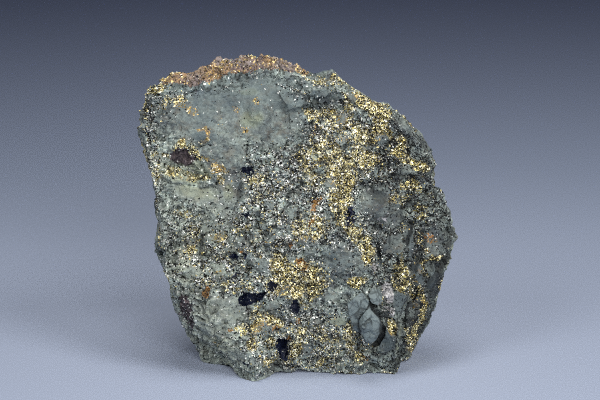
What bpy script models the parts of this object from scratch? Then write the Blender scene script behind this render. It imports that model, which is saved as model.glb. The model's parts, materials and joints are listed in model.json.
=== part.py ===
"""A hand specimen of chalcopyrite ore: one broken block of grey-green rock, standing on its worn foot.

Run it with: blender --background --python part.py
The block stands on the XY plane, +Z is up, and its broad broken face looks towards -Y.
"""

import math

import bmesh
import bpy
import numpy as np
from mathutils import Vector, noise

MM = 0.001

# The block's middle, and its widest section as X and Z around that middle, clockwise from the
# upper left corner, all in millimetres
MIDDLE = Vector((0.0, 0.0, 56.0))
OUTLINE = (
    (-60.5, 100.0), (-60.3, 107.3), (-52.5, 108.7), (-44.5, 110.0), (-38.0, 109.0), (-28.5, 116.5),
    (-15.0, 117.5), (-4.0, 112.5), (6.0, 107.5), (13.0, 110.0), (19.5, 104.0), (32.5, 96.5),
    (39.2, 91.8), (45.0, 86.5), (50.5, 77.5), (50.8, 69.0), (54.0, 61.0), (57.0, 52.0), (61.0, 45.0),
    (57.0, 39.5), (53.8, 36.0), (53.5, 30.5), (52.0, 21.5), (49.6, 10.0), (45.4, -3.0), (42.0, -9.0),
    (0.0, -12.0), (-31.0, -8.0), (-37.0, 1.5), (-40.0, 9.5), (-44.5, 18.0), (-47.5, 28.5),
    (-49.0, 35.0), (-52.0, 40.0), (-53.0, 49.5), (-51.2, 57.0), (-53.0, 66.5), (-53.5, 73.5),
    (-56.0, 81.5), (-58.0, 91.0),
)
# How the section shrinks towards the front and the back of the block
WIDEST_DEPTH = 3.0
NARROWING = 95.0
# Into how many directions the outline is divided, and how far from the middle a point may lie
REACH_STEPS = 720
NEAREST = 5.0
FARTHEST = 400.0
LEAST_FLAT = 0.05

# The flat breaks that bound the block: a point on each, in millimetres, and the way it faces
BREAKS = {
    "front_left": ((-28.0, -17.0, 60.0), (-0.07, -0.97, 0.20)),
    "front_middle": ((8.0, -20.0, 60.0), (0.05, -0.98, 0.19)),
    "front_right": ((30.0, -16.0, 55.0), (0.36, -0.91, 0.15)),
    "front_low": ((0.0, -21.0, 22.0), (-0.02, -0.99, 0.02)),
    "right_shoulder": ((46.5, -8.0, 70.0), (0.76, -0.60, 0.22)),
    "right_flank": ((53.2, -4.0, 30.0), (0.79, -0.59, -0.16)),
    "crest": ((-20.0, 2.0, 112.2), (-0.05, -0.55, 0.83)),
    "left_edge": ((-56.5, -8.0, 70.0), (-0.88, -0.47, 0.05)),
    "left_foot": ((-46.0, -6.0, 16.0), (-0.76, -0.48, -0.40)),
    "back_main": ((0.0, 26.0, 50.0), (0.08, 0.98, 0.16)),
    "back_upper": ((-10.0, 20.6, 98.0), (-0.10, 0.84, 0.52)),
    "back_left": ((-44.0, 15.0, 60.0), (-0.72, 0.69, 0.05)),
    "back_right": ((43.0, 17.0, 50.0), (0.66, 0.75, -0.06)),
    "back_foot": ((0.0, 24.0, 10.0), (0.05, 0.90, -0.43)),
    "underside": ((0.0, 0.0, -0.9), (0.0, 0.0, -1.0)),
    "foot_front": ((0.0, -14.0, 0.0), (0.0, -0.92, -0.39)),
    "foot_left": ((-28.0, -8.0, 0.0), (-0.59, -0.64, -0.50)),
    "foot_right": ((39.0, -8.0, 0.0), (0.86, -0.38, -0.34)),
}

# The eye that sees the front looks down at this slope; forms on the front are placed by what it sees
SIGHT = math.radians(15.0)

# Raised forms of the front, as seen: middle across and up, half width and half height, turn in
# degrees, height, and how much of the half width the edge takes, all lengths in millimetres
RAISED = {
    "hump": ((-13.4, 91.7), (6.5, 6.0), 0.0, 2.2, 0.55),
    "pale_swell": ((-34.0, 84.0), (17.0, 15.0), 20.0, 1.6, 0.8),
    "knob": ((29.5, 57.0), (5.5, 4.5), 25.0, 2.6, 0.5),
    "middle_swell": ((16.0, 47.0), (12.0, 9.0), 10.0, 1.8, 0.7),
    "left_shell": ((20.8, 20.3), (4.8, 7.2), 18.0, 2.0, 0.25),
    "upper_shell": ((27.3, 24.0), (4.0, 4.6), 0.0, 2.4, 0.3),
    "round_shell": ((25.7, 14.6), (4.6, 7.4), -8.0, 3.8, 0.22),
    "ridge": ((36.8, 11.0), (2.2, 9.5), -4.0, 2.6, 0.7),
    "gold_corner": ((29.0, 90.5), (4.5, 3.5), 0.0, 1.0, 0.9),
    "crest_rise": ((-26.5, 109.0), (6.0, 7.0), 0.0, 2.0, 1.0),
    "toe": ((-16.2, -3.0), (9.2, 13.0), 0.0, 7.2, 1.0),
}

# Hollows of the front: the same numbers, with a depth in place of the height
HOLLOWS = {
    "beside_hump": ((-6.4, 91.0), (3.0, 6.0), 12.0, 1.6, 0.9),
    "purple_pit": ((-41.6, 75.3), (4.8, 2.7), -8.0, 1.4, 0.8),
    "notch": ((-18.0, 69.7), (2.0, 1.5), 20.0, 1.6, 0.9),
    "blue_pit_left": ((-17.6, 23.4), (3.6, 1.9), 5.0, 1.3, 0.9),
    "blue_pit_upper": ((-9.0, 28.5), (1.6, 1.9), 30.0, 1.1, 0.9),
    "blue_pit_right": ((-1.6, 20.6), (1.7, 2.8), -15.0, 1.2, 0.9),
    "blue_pit_low": ((-6.2, 5.6), (2.2, 3.2), 12.0, 1.4, 0.9),
    "dark_slot": ((17.6, 54.3), (1.4, 3.0), -8.0, 2.0, 0.9),
    "rough_middle": ((-2.0, 62.0), (15.0, 17.0), -20.0, 2.0, 0.8),
    "below_knob": ((23.5, 63.0), (5.0, 3.0), -10.0, 1.5, 0.8),
    "under_shoulder": ((44.0, 40.0), (3.5, 4.0), 0.0, 1.6, 0.8),
}

# Cracks and steps of the front: the points they run through as seen, half width and depth
CRACKS = {
    "beside_round_shell": (((26.0, 23.0), (29.8, 18.0), (30.2, 13.0), (28.6, 7.5), (25.0, 4.6)), 1.2, 3.0),
    "between_shells": (((23.6, 24.5), (23.0, 21.0), (21.0, 16.0), (21.4, 10.0)), 0.9, 2.0),
    "cleft": (((43.5, 26.0), (41.0, 19.0), (38.8, 12.0), (38.2, 3.0)), 2.2, 9.0),
    "slant": (((-9.0, 50.2), (-13.4, 46.0)), 1.0, 2.2),
    "left_of_knob": (((9.0, 47.5), (9.2, 43.0)), 0.9, 2.0),
    "below_right_knob": (((28.8, 40.5), (28.5, 35.5)), 1.1, 2.6),
    "right_gap": (((51.0, 36.0), (46.0, 31.0), (42.0, 28.5)), 1.3, 3.2),
    "trough": (((-4.0, 90.0), (4.0, 93.0), (12.0, 96.5)), 2.0, 0.8),
}

# Ledges of the front: the points each runs through as seen, from top to bottom, how far the side on
# its left stands above the side on its right, and how far from the ledge that fades away
LEDGES = {
    "pale_edge": (((12.0, 97.0), (-3.0, 90.5), (-14.0, 79.5), (-19.5, 69.0), (-22.0, 56.0)), 1.2, 9.0),
    "left_step": (((-29.0, 52.0), (-34.0, 44.0), (-33.0, 36.0)), 1.4, 6.0),
    "gold_edge": (((31.0, 94.0), (30.0, 83.0), (36.0, 76.0)), 1.0, 6.0),
    "panel_edge": (((37.0, 70.0), (39.0, 52.0), (39.5, 38.0)), 1.6, 7.0),
}

# How sharply a ledge drops, in millimetres, and the slope at which the forms of the front begin and
# the range over which they come in
LEDGE_DROP = 0.6
FRONT_FROM = 0.15
FRONT_RANGE = 0.3

# The relief that covers the block: size of the forms and how far they reach, in millimetres
SWELL = (34.0, 1.5)
CHIPS = ((21.0, 1.3), (11.0, 0.9), (5.5, 0.5))
GRIT = (2.6, 0.3)
# How much a chip is tilted, and how its strength changes over the block: least, range and size
CHIP_TILT = 0.9
PATCHES = (0.6, 0.8, 24.0)
# What a chip's place is multiplied by before its height and its tilt are drawn, so that both differ
TONE_SPREAD = 3.7
TILT_SPREAD = 7.31
# The pale plane of the upper left is this much calmer than the rest, and how soon it is so
CALM_PLANE = ((-33.0, 78.0), (30.0, 34.0))
CALM = 0.65
CALM_RIM = 1.6

# How finely the block is divided, how many triangles are kept, and below what height it is its base
DIVISIONS = 7
TRIANGLES = 9200
BASE_HEIGHT = 0.2

STONE = (0.19, 0.22, 0.205, 1.0)
STONE_ROUGHNESS = 0.75


def clear_scene():
    for obj in list(bpy.data.objects):
        bpy.data.objects.remove(obj)


def outline_reach(angle):
    """How far the outline lies from the middle in this direction of the XZ plane."""
    across, up = math.cos(angle), math.sin(angle)
    reach = 0.0
    corners = [(x - MIDDLE.x, z - MIDDLE.z) for x, z in OUTLINE]
    for (x0, z0), (x1, z1) in zip(corners, corners[1:] + corners[:1], strict=True):
        ex, ez = x1 - x0, z1 - z0
        turn = across * ez - up * ex
        if abs(turn) < 1e-9:
            continue
        along = (x0 * ez - z0 * ex) / turn
        share = (x0 * up - z0 * across) / turn
        if along > 0.0 and -1e-6 <= share <= 1.0 + 1e-6:
            reach = max(reach, along)
    return reach


REACHES = [outline_reach(2.0 * math.pi * n / REACH_STEPS) for n in range(REACH_STEPS)]


def reach_towards(across, up):
    place = math.atan2(up, across) / (2.0 * math.pi) * REACH_STEPS % REACH_STEPS
    low = int(place)
    part = place - low
    return REACHES[low % REACH_STEPS] * (1.0 - part) + REACHES[(low + 1) % REACH_STEPS] * part


def broken_surface(direction):
    """The point of the block in this direction from its middle."""
    flat = math.hypot(direction.x, direction.z)
    outline = reach_towards(direction.x, direction.z)
    far = outline / max(flat, LEAST_FLAT)
    for _ in range(4):
        depth = (far * direction.y - WIDEST_DEPTH) / NARROWING
        far = outline * (1.0 - depth * depth) / max(flat, LEAST_FLAT)
        far = min(max(far, NEAREST), FARTHEST)
    for point, facing in BREAKS.values():
        facing = Vector(facing).normalized()
        slope = facing.dot(direction)
        if slope > 1e-4:
            far = min(far, facing.dot(Vector(point) - MIDDLE) / slope)
    return MIDDLE + direction * far


def block_mesh():
    bm = bmesh.new()
    bmesh.ops.create_icosphere(bm, subdivisions=DIVISIONS, radius=1.0)
    for vertex in bm.verts:
        vertex.co = broken_surface(vertex.co.normalized())
    bmesh.ops.smooth_vert(bm, verts=bm.verts, factor=0.5, use_axis_x=True, use_axis_y=True, use_axis_z=True)
    bm.normal_update()
    return bm


def as_seen(point):
    """Where a point of the front is seen, across and up."""
    return point.x, point.z * math.cos(SIGHT) + point.y * math.sin(SIGHT)


def eased(value):
    value = min(max(value, 0.0), 1.0)
    return value * value * (3.0 - 2.0 * value)


def in_oval(seen, form):
    """1 on the form's top, falling to 0 at its rim."""
    (across, up), (half_width, half_height), turn, _, edge = form
    angle = math.radians(turn)
    dx, dz = seen[0] - across, seen[1] - up
    ox = (dx * math.cos(angle) + dz * math.sin(angle)) / half_width
    oz = (dz * math.cos(angle) - dx * math.sin(angle)) / half_height
    return eased((1.0 - math.hypot(ox, oz)) / edge)


def near_line(seen, points, half_width):
    """1 on the line through the points, falling to 0 at half_width from it."""
    nearest = 1e9
    for (x0, z0), (x1, z1) in zip(points, points[1:], strict=False):
        ex, ez = x1 - x0, z1 - z0
        share = ((seen[0] - x0) * ex + (seen[1] - z0) * ez) / (ex * ex + ez * ez)
        share = min(max(share, 0.0), 1.0)
        nearest = min(nearest, math.hypot(seen[0] - x0 - share * ex, seen[1] - z0 - share * ez))
    return eased(1.0 - nearest / half_width)


def over_ledge(seen, ledge):
    """Half the ledge's height on its left side, the same below on its right, fading with distance."""
    points, height, fade = ledge
    nearest, side = 1e9, 0.0
    for (x0, z0), (x1, z1) in zip(points, points[1:], strict=False):
        ex, ez = x1 - x0, z1 - z0
        length = math.hypot(ex, ez)
        share = ((seen[0] - x0) * ex + (seen[1] - z0) * ez) / (length * length)
        share = min(max(share, 0.0), 1.0)
        distance = math.hypot(seen[0] - x0 - share * ex, seen[1] - z0 - share * ez)
        if distance < nearest:
            nearest = distance
            side = (ex * (seen[1] - z0) - ez * (seen[0] - x0)) / length
    return -0.5 * height * math.tanh(side / LEDGE_DROP) * math.exp(-nearest / fade)


def chip(point, size, seed):
    """Flat chips of one size: each stands out by its own amount and has its own tilt."""
    place = point / size + Vector((seed, -seed, 0.5 * seed))
    centre = noise.voronoi(place)[1][0]
    tilt = noise.cell_vector(centre * TILT_SPREAD)
    return noise.cell(centre * TONE_SPREAD) - 0.5 + CHIP_TILT * (place - centre).dot(tilt)


def calmness(seen):
    (across, up), (half_width, half_height) = CALM_PLANE
    out = math.hypot((seen[0] - across) / half_width, (seen[1] - up) / half_height)
    return CALM * eased(CALM_RIM * (1.0 - out))


def relief(point, facing):
    """How far the surface stands out at a point, in millimetres."""
    frontness = eased((-facing.y - FRONT_FROM) / FRONT_RANGE)
    seen = as_seen(point)
    calm = 1.0 - calmness(seen) * frontness
    size, reach = SWELL
    out = reach * noise.fractal(point / size, 1.0, 2.0, 2)
    least, change, wide = PATCHES
    for number, (size, reach) in enumerate(CHIPS):
        patchy = least + change * noise.noise(point / wide + Vector((9.0 * number, 5.0, 2.0)))
        out += calm * patchy * reach * chip(point, size, 4.0 + 7.0 * number)
    size, reach = GRIT
    out += calm * reach * noise.noise(point / size)
    if frontness > 0.0:
        for form in RAISED.values():
            out += frontness * form[3] * in_oval(seen, form)
        for form in HOLLOWS.values():
            out -= frontness * form[3] * in_oval(seen, form)
        for points, half_width, depth in CRACKS.values():
            out -= frontness * depth * near_line(seen, points, half_width)
        for ledge in LEDGES.values():
            out += frontness * over_ledge(seen, ledge)
    return out


def worn_block():
    bm = block_mesh()
    places = [v.co + v.normal * relief(v.co, v.normal) for v in bm.verts]
    for vertex, place in zip(bm.verts, places, strict=True):
        place.z = max(place.z, 0.0)
        vertex.co = place * MM
    mesh = bpy.data.meshes.new("ore_block")
    bm.to_mesh(mesh)
    bm.free()
    obj = bpy.data.objects.new("ore_block", mesh)
    bpy.context.scene.collection.objects.link(obj)
    return obj


def applied(obj, kind, **settings):
    modifier = obj.modifiers.new(kind.lower(), kind)
    for name, value in settings.items():
        setattr(modifier, name, value)
    graph = bpy.context.evaluated_depsgraph_get()
    mesh = bpy.data.meshes.new_from_object(obj.evaluated_get(graph))
    obj.modifiers.clear()
    obj.data = mesh


def flat_base(obj, height):
    for vertex in obj.data.vertices:
        if vertex.co.z < height:
            vertex.co.z = 0.0


def centred(obj):
    """Moves the block so that its bounding box stands on the origin."""
    places = np.array([v.co for v in obj.data.vertices])
    middle = (places.min(axis=0) + places.max(axis=0)) / 2.0
    for vertex in obj.data.vertices:
        vertex.co.x -= middle[0]
        vertex.co.y -= middle[1]


def stone_material():
    material = bpy.data.materials.new("ore_stone")
    material.use_nodes = True
    shader = material.node_tree.nodes["Principled BSDF"]
    shader.inputs["Base Color"].default_value = STONE
    shader.inputs["Roughness"].default_value = STONE_ROUGHNESS
    shader.inputs["Metallic"].default_value = 0.0
    return material


def main():
    clear_scene()
    block = worn_block()
    faces = sum(len(face.vertices) - 2 for face in block.data.polygons)
    applied(block, "DECIMATE", ratio=TRIANGLES / faces)
    flat_base(block, BASE_HEIGHT * MM)
    centred(block)
    block.data.materials.clear()
    block.data.materials.append(stone_material())


main()
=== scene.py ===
"""The looks of a chalcopyrite ore specimen: its broken rock, the brassy grains in it, and a plain studio."""

import json
import math

import bmesh
import bpy
import numpy as np
from bpy.props import FloatProperty, FloatVectorProperty, IntProperty, PointerProperty
from bpy.types import Operator, Panel, PropertyGroup
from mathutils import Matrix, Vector, noise
from mathutils.bvhtree import BVHTree

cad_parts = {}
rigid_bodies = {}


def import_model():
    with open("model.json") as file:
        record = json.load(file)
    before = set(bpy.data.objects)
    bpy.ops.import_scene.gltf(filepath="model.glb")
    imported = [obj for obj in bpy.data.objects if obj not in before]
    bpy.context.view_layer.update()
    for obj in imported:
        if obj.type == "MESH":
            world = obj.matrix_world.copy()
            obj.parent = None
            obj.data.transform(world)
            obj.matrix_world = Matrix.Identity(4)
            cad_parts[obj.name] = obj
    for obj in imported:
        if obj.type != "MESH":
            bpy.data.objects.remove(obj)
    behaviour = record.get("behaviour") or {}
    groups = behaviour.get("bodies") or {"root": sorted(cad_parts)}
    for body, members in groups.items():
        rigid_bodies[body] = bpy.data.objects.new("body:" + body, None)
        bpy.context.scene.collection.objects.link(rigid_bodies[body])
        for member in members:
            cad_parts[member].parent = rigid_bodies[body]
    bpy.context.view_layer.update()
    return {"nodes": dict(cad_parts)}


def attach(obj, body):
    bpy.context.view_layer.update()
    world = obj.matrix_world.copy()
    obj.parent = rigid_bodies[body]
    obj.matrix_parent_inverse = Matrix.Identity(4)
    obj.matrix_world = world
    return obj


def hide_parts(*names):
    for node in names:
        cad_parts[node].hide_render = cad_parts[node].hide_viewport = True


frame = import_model()
CAD_NODE = "ore_block"

bl_info = {
    "name": "Chalcopyrite Specimen",
    "version": (1, 0, 0),
    "blender": (4, 5, 0),
    "location": "3D View > Sidebar > Specimen",
    "description": "Dresses a block of chalcopyrite ore with broken rock and brassy grains",
    "category": "Object",
}

MM = 0.001
# The front is seen looking down at this slope; places on the front are across and up as seen, in mm
SIGHT = math.radians(15.0)

# Areas of the front as seen: middle, half width and half height in mm, turn in degrees, and strength
GOLD_AREAS = (
    ((27.2, 93.1), (6.4, 3.8), -30.0, 1.0),
    ((29.2, 86.8), (2.2, 3.4), 8.0, 1.0),
    ((33.0, 82.8), (2.0, 1.1), -30.0, 0.8),
    ((21.7, 97.4), (2.6, 1.4), -45.0, 0.8),
    ((13.2, 103.4), (2.9, 2.2), -20.0, 0.6),
    ((7.8, 104.0), (1.9, 1.4), 0.0, 0.5),
    ((17.1, 94.3), (2.2, 3.6), 20.0, 0.65),
    ((3.4, 90.0), (2.0, 2.2), 0.0, 0.5),
    ((9.4, 90.3), (2.8, 1.6), 20.0, 0.6),
    ((15.0, 85.0), (12.0, 5.0), -25.0, 0.3),
    ((23.4, 81.8), (4.6, 2.3), -15.0, 0.75),
    ((8.1, 78.2), (5.6, 1.8), 12.0, 0.6),
    ((21.2, 74.1), (6.8, 3.6), -10.0, 0.8),
    ((20.0, 72.2), (2.0, 2.1), 0.0, 0.9),
    ((13.2, 69.3), (3.4, 2.1), 0.0, 0.85),
    ((12.0, 72.5), (12.0, 8.0), -15.0, 0.42),
    ((36.8, 79.7), (1.8, 2.4), 30.0, 0.75),
    ((16.8, 63.7), (2.6, 7.2), 6.0, 0.9),
    ((13.0, 60.0), (3.0, 4.5), 0.0, 0.6),
    ((5.5, 68.0), (4.0, 5.0), 0.0, 0.3),
    ((40.3, 64.3), (3.2, 2.3), -15.0, 0.48),
    ((35.7, 60.0), (3.5, 1.8), -20.0, 0.45),
    ((44.2, 55.3), (2.6, 2.7), 0.0, 0.22),
    ((38.0, 47.8), (1.3, 1.9), 0.0, 0.4),
    ((3.5, 49.6), (6.0, 5.0), 20.0, 0.4),
    ((37.7, 38.5), (1.6, 2.3), 10.0, 0.55),
    ((48.6, 37.8), (2.8, 1.5), 0.0, 0.6),
    ((45.1, 33.8), (2.3, 1.8), 0.0, 0.6),
    ((37.8, 33.0), (2.1, 2.3), 0.0, 0.8),
    ((36.0, 29.0), (2.4, 2.0), -30.0, 0.6),
    ((42.8, 25.9), (2.1, 2.2), 0.0, 0.6),
    ((44.5, 16.8), (2.9, 2.5), 20.0, 0.9),
    ((41.1, 8.9), (1.9, 4.6), 25.0, 0.9),
    ((33.6, 13.4), (1.4, 3.0), 5.0, 0.85),
    ((20.7, 30.0), (3.8, 1.6), 15.0, 0.8),
    ((-1.0, 30.5), (9.9, 6.8), 0.0, 0.8),
    ((-7.0, 36.5), (3.4, 3.0), 20.0, 0.8),
    ((2.5, 24.0), (2.2, 4.0), -20.0, 0.4),
    ((-9.8, 7.5), (1.3, 2.1), 0.0, 0.85),
    ((-1.1, 5.2), (1.9, 4.3), -10.0, 0.85),
    ((-9.6, 0.2), (2.4, 2.3), 0.0, 0.7),
    ((-4.7, -0.3), (2.2, 1.0), 0.0, 0.8),
    ((-9.2, 15.5), (3.0, 1.5), -35.0, 0.85),
    ((0.5, 12.4), (3.0, 1.6), 45.0, 0.75),
    ((8.9, 9.2), (1.4, 1.3), 0.0, 0.75),
    ((12.8, 6.9), (1.4, 2.8), -15.0, 0.5),
    ((17.6, 9.8), (2.0, 5.0), 15.0, 0.65),
    ((8.1, 0.1), (1.7, 1.3), 0.0, 0.7),
    ((22.3, 1.8), (2.6, 2.1), 10.0, 0.8),
    ((-14.6, 17.6), (3.0, 2.4), 0.0, 0.75),
    ((-17.0, 27.8), (1.6, 1.5), 0.0, 0.6),
    ((-27.4, 28.6), (1.4, 1.0), 0.0, 0.5),
    ((-20.5, 13.0), (2.0, 1.6), 0.0, 0.6),
    ((-15.0, 13.4), (2.4, 2.2), 0.0, 0.65),
    ((-16.5, 7.6), (2.4, 2.2), 0.0, 0.55),
    ((-29.0, 70.9), (2.4, 1.7), 0.0, 0.85),
    ((-27.7, 66.4), (1.6, 2.2), 15.0, 0.5),
    ((-43.6, 69.8), (8.0, 1.4), -14.0, 0.24),
    ((-51.8, 71.0), (1.6, 6.0), 5.0, 0.22),
    ((-42.6, 78.8), (2.8, 1.6), 40.0, 1.0),
    ((-39.2, 76.8), (2.0, 1.7), 0.0, 1.0),
    ((-48.2, 75.4), (1.6, 1.0), -30.0, 0.6),
    ((-15.4, 66.3), (2.6, 3.0), -20.0, 0.36),
    ((-14.4, 61.0), (2.2, 2.4), 0.0, 0.2),
    ((-41.5, 55.2), (3.2, 2.2), -25.0, 0.25),
    ((-28.5, 46.2), (2.6, 1.2), 20.0, 0.5),
    ((-37.8, 46.4), (2.8, 3.0), 0.0, 0.25),
    ((-39.0, 41.6), (5.0, 1.8), 0.0, 0.3),
    ((-20.5, 49.5), (3.0, 1.6), 20.0, 0.3),
    ((-52.0, 99.6), (3.4, 1.4), 20.0, 0.5),
    ((-42.6, 94.6), (3.4, 2.2), -10.0, 0.5),
    ((-37.9, 91.5), (2.0, 1.4), -35.0, 0.8),
    ((-47.6, 93.6), (1.8, 2.6), -15.0, 0.3),
    ((-22.8, 92.0), (1.5, 1.3), 30.0, 0.6),
    ((-15.0, 94.8), (1.2, 1.8), -15.0, 0.35),
    ((-28.6, 87.4), (1.4, 1.2), 0.0, 0.25),
    ((-19.6, 84.4), (1.4, 1.2), -45.0, 0.35),
    ((-22.0, 38.0), (18.0, 14.0), 0.0, 0.08),
    ((-13.0, 57.0), (9.0, 12.0), 0.0, 0.06),
    ((4.0, 6.0), (20.0, 10.0), 0.0, 0.12),
)
# Strips of the front as seen: the points each runs through, half width in mm, and strength
GOLD_STRIPS = (
    (((16.3, 103.0), (23.4, 98.0), (29.6, 93.6)), 1.1, 0.85),
    (((24.0, 95.0), (27.4, 91.6), (29.4, 86.6), (33.4, 82.4)), 1.4, 1.0),
    (((12.7, 58.5), (17.6, 50.6), (24.0, 44.0), (25.6, 38.4)), 2.3, 0.85),
    (((34.6, 77.0), (40.9, 73.6), (46.8, 70.8)), 1.3, 0.9),
    (((45.6, 19.4), (44.0, 14.0)), 2.4, 1.0),
    (((44.0, 14.0), (41.4, 4.5)), 1.7, 1.0),
    (((36.6, 36.4), (38.6, 31.6), (42.0, 27.6), (43.8, 22.4)), 1.9, 0.9),
    (((46.8, 41.0), (44.6, 44.0), (44.8, 47.4)), 0.8, 0.9),
    (((43.8, 37.6), (47.6, 37.0), (51.6, 38.0)), 1.0, 0.9),
    (((-46.9, 96.0), (-39.1, 91.4)), 1.2, 0.5),
    (((-35.9, 84.2), (-33.6, 84.9), (-32.4, 83.0), (-32.9, 80.8), (-34.6, 79.9)), 0.75, 0.95),
    (((-42.6, 78.9), (-39.8, 77.6), (-36.4, 75.2), (-35.4, 73.4)), 0.75, 0.95),
    (((-36.4, 74.4), (-31.9, 73.4), (-26.4, 70.2)), 0.9, 0.45),
    (((-48.0, 68.6), (-40.0, 67.2), (-33.0, 67.8)), 1.1, 0.35),
    (((-55.4, 94.0), (-56.6, 84.0), (-55.0, 72.0), (-52.6, 58.0), (-51.0, 46.0)), 1.0, 0.1),
)
SALT_AREAS = (
    ((-5.2, 58.4), (20.7, 19.0), 0.0, 1.0),
    ((-28.4, 39.8), (20.6, 14.0), 0.0, 0.8),
    ((0.0, 8.6), (22.4, 12.5), 0.0, 0.8),
    ((18.0, 77.5), (19.6, 18.1), 0.0, 1.0),
    ((16.3, 47.5), (14.1, 13.5), 0.0, 0.8),
    ((-53.0, 75.9), (3.0, 21.8), 4.0, 0.8),
    ((-47.0, 94.0), (8.0, 6.0), 0.0, 0.6),
    ((36.9, 45.3), (14.7, 21.4), 0.0, 0.55),
    ((44.0, 66.0), (6.0, 16.0), 25.0, 0.5),
    ((-42.0, 52.0), (8.0, 6.0), 0.0, 0.5),
    ((-14.0, 30.0), (12.0, 12.0), 0.0, 0.8),
    ((-4.0, 98.0), (8.0, 3.0), -15.0, 0.3),
)
# Plain patches of grey rock
CALM_AREAS = (
    ((-30.1, 89.0), (19.0, 9.5), 6.0, 1.0),
    ((-12.0, 91.0), (13.0, 11.5), -35.0, 1.0),
    ((-27.0, 76.0), (8.0, 9.0), -20.0, 0.85),
    ((-38.6, 84.6), (3.8, 2.2), 0.0, 0.9),
    ((-37.0, 61.4), (8.5, 2.6), -8.0, 0.9),
    ((-24.5, 60.5), (5.0, 8.5), -15.0, 0.9),
    ((-43.0, 66.5), (5.4, 1.8), -6.0, 0.7),
    ((-30.6, 49.4), (4.4, 4.6), -30.0, 0.7),
    ((-22.5, 43.0), (5.0, 3.2), 0.0, 0.6),
    ((-39.4, 34.8), (5.0, 3.0), -15.0, 0.7),
    ((-29.6, 33.8), (3.0, 3.0), 0.0, 0.8),
    ((-25.0, 20.5), (6.0, 4.5), -30.0, 0.8),
    ((-30.0, 11.0), (8.0, 6.0), -35.0, 0.45),
    ((-22.0, 3.6), (8.0, 3.2), 0.0, 0.6),
    ((-10.6, 57.5), (1.4, 1.6), 0.0, 0.9),
    ((-2.8, 54.6), (1.4, 2.8), -28.0, 1.0),
    ((-11.6, 50.0), (1.8, 1.2), 10.0, 1.0),
    ((-15.9, 47.1), (2.2, 2.0), 0.0, 0.8),
    ((-10.3, 46.2), (1.4, 2.6), -35.0, 1.0),
    ((10.6, 65.0), (2.9, 1.7), 0.0, 1.0),
    ((4.3, 40.7), (2.8, 1.5), 0.0, 1.0),
    ((14.1, 38.4), (5.9, 4.6), 0.0, 1.0),
    ((3.4, 44.4), (3.8, 1.8), 0.0, 0.9),
    ((-13.7, 36.6), (4.0, 2.8), -25.0, 1.0),
    ((-7.3, 66.5), (2.4, 1.6), 25.0, 0.9),
    ((-2.1, 59.8), (2.5, 1.3), 20.0, 0.9),
    ((-5.5, 26.8), (1.0, 2.1), -35.0, 1.0),
    ((-13.0, 23.7), (1.4, 1.0), 0.0, 1.0),
    ((-10.0, 20.8), (2.5, 1.4), 0.0, 1.0),
    ((-12.5, 12.6), (3.4, 3.0), 0.0, 0.9),
    ((-6.1, 12.9), (1.8, 1.2), 0.0, 0.9),
    ((11.0, 24.4), (3.2, 1.8), 15.0, 0.9),
    ((13.6, 15.2), (2.9, 1.8), 0.0, 1.0),
    ((2.7, 4.2), (2.3, 2.4), 0.0, 0.9),
    ((5.5, 15.7), (2.4, 1.3), 0.0, 0.9),
    ((19.6, 96.4), (2.2, 1.6), 0.0, 1.0),
    ((16.1, 80.6), (2.5, 1.8), 15.0, 1.0),
    ((29.5, 80.7), (2.3, 2.6), 0.0, 1.0),
    ((37.5, 87.1), (5.0, 2.2), -42.0, 0.7),
    ((14.5, 88.1), (2.0, 2.6), 0.0, 1.0),
    ((8.8, 98.0), (2.0, 2.4), 0.0, 1.0),
    ((38.5, 70.4), (3.2, 1.4), -10.0, 0.8),
    ((27.6, 57.4), (5.6, 6.2), -15.0, 1.0),
    ((34.0, 54.0), (4.0, 5.6), 0.0, 0.8),
    ((34.2, 43.2), (4.0, 3.8), 0.0, 1.0),
    ((40.4, 44.4), (1.5, 5.4), 8.0, 1.0),
    ((49.4, 44.0), (3.6, 5.6), 0.0, 0.85),
    ((43.0, 33.4), (2.0, 5.0), 0.0, 1.0),
    ((37.0, 22.4), (3.2, 4.6), 0.0, 0.9),
    ((21.4, 36.2), (2.4, 4.0), 0.0, 0.8),
    ((31.6, 7.6), (3.2, 4.8), 0.0, 1.0),
    ((36.4, 11.0), (1.3, 7.4), -4.0, 0.7),
    ((49.6, 31.0), (2.0, 5.0), -12.0, 1.0),
    ((43.8, 21.4), (1.6, 3.0), -10.0, 0.9),
)
OLIVE_AREAS = (
    ((-35.0, 42.0), (14.0, 14.0), 0.0, 0.25),
    ((-41.4, 69.2), (9.6, 3.6), -6.0, 1.0),
    ((-36.5, 62.2), (7.5, 2.4), -8.0, 0.7),
    ((-17.0, 88.5), (3.4, 3.4), 0.0, 0.7),
    ((-17.5, 98.2), (3.4, 1.4), 8.0, 0.6),
    ((-42.5, 36.4), (3.6, 2.4), -20.0, 0.8),
    ((-38.0, 31.6), (4.0, 2.4), 0.0, 0.6),
    ((-25.0, 62.0), (1.6, 3.4), -20.0, 0.6),
    ((-29.6, 6.4), (5.0, 3.0), -25.0, 0.5),
    ((13.6, 15.4), (2.6, 1.6), 0.0, 0.5),
    ((-15.4, 45.0), (2.0, 1.0), 20.0, 0.6),
)
BRIGHT_AREAS = (
    ((-32.0, 14.0), (15.0, 15.0), -35.0, 1.0),
    ((-46.0, 72.0), (9.0, 7.0), 0.0, 0.8),
    ((-40.0, 36.0), (9.0, 7.0), 0.0, 0.8),
    ((-38.0, 54.0), (14.0, 10.0), 0.0, 0.6),
)
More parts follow.
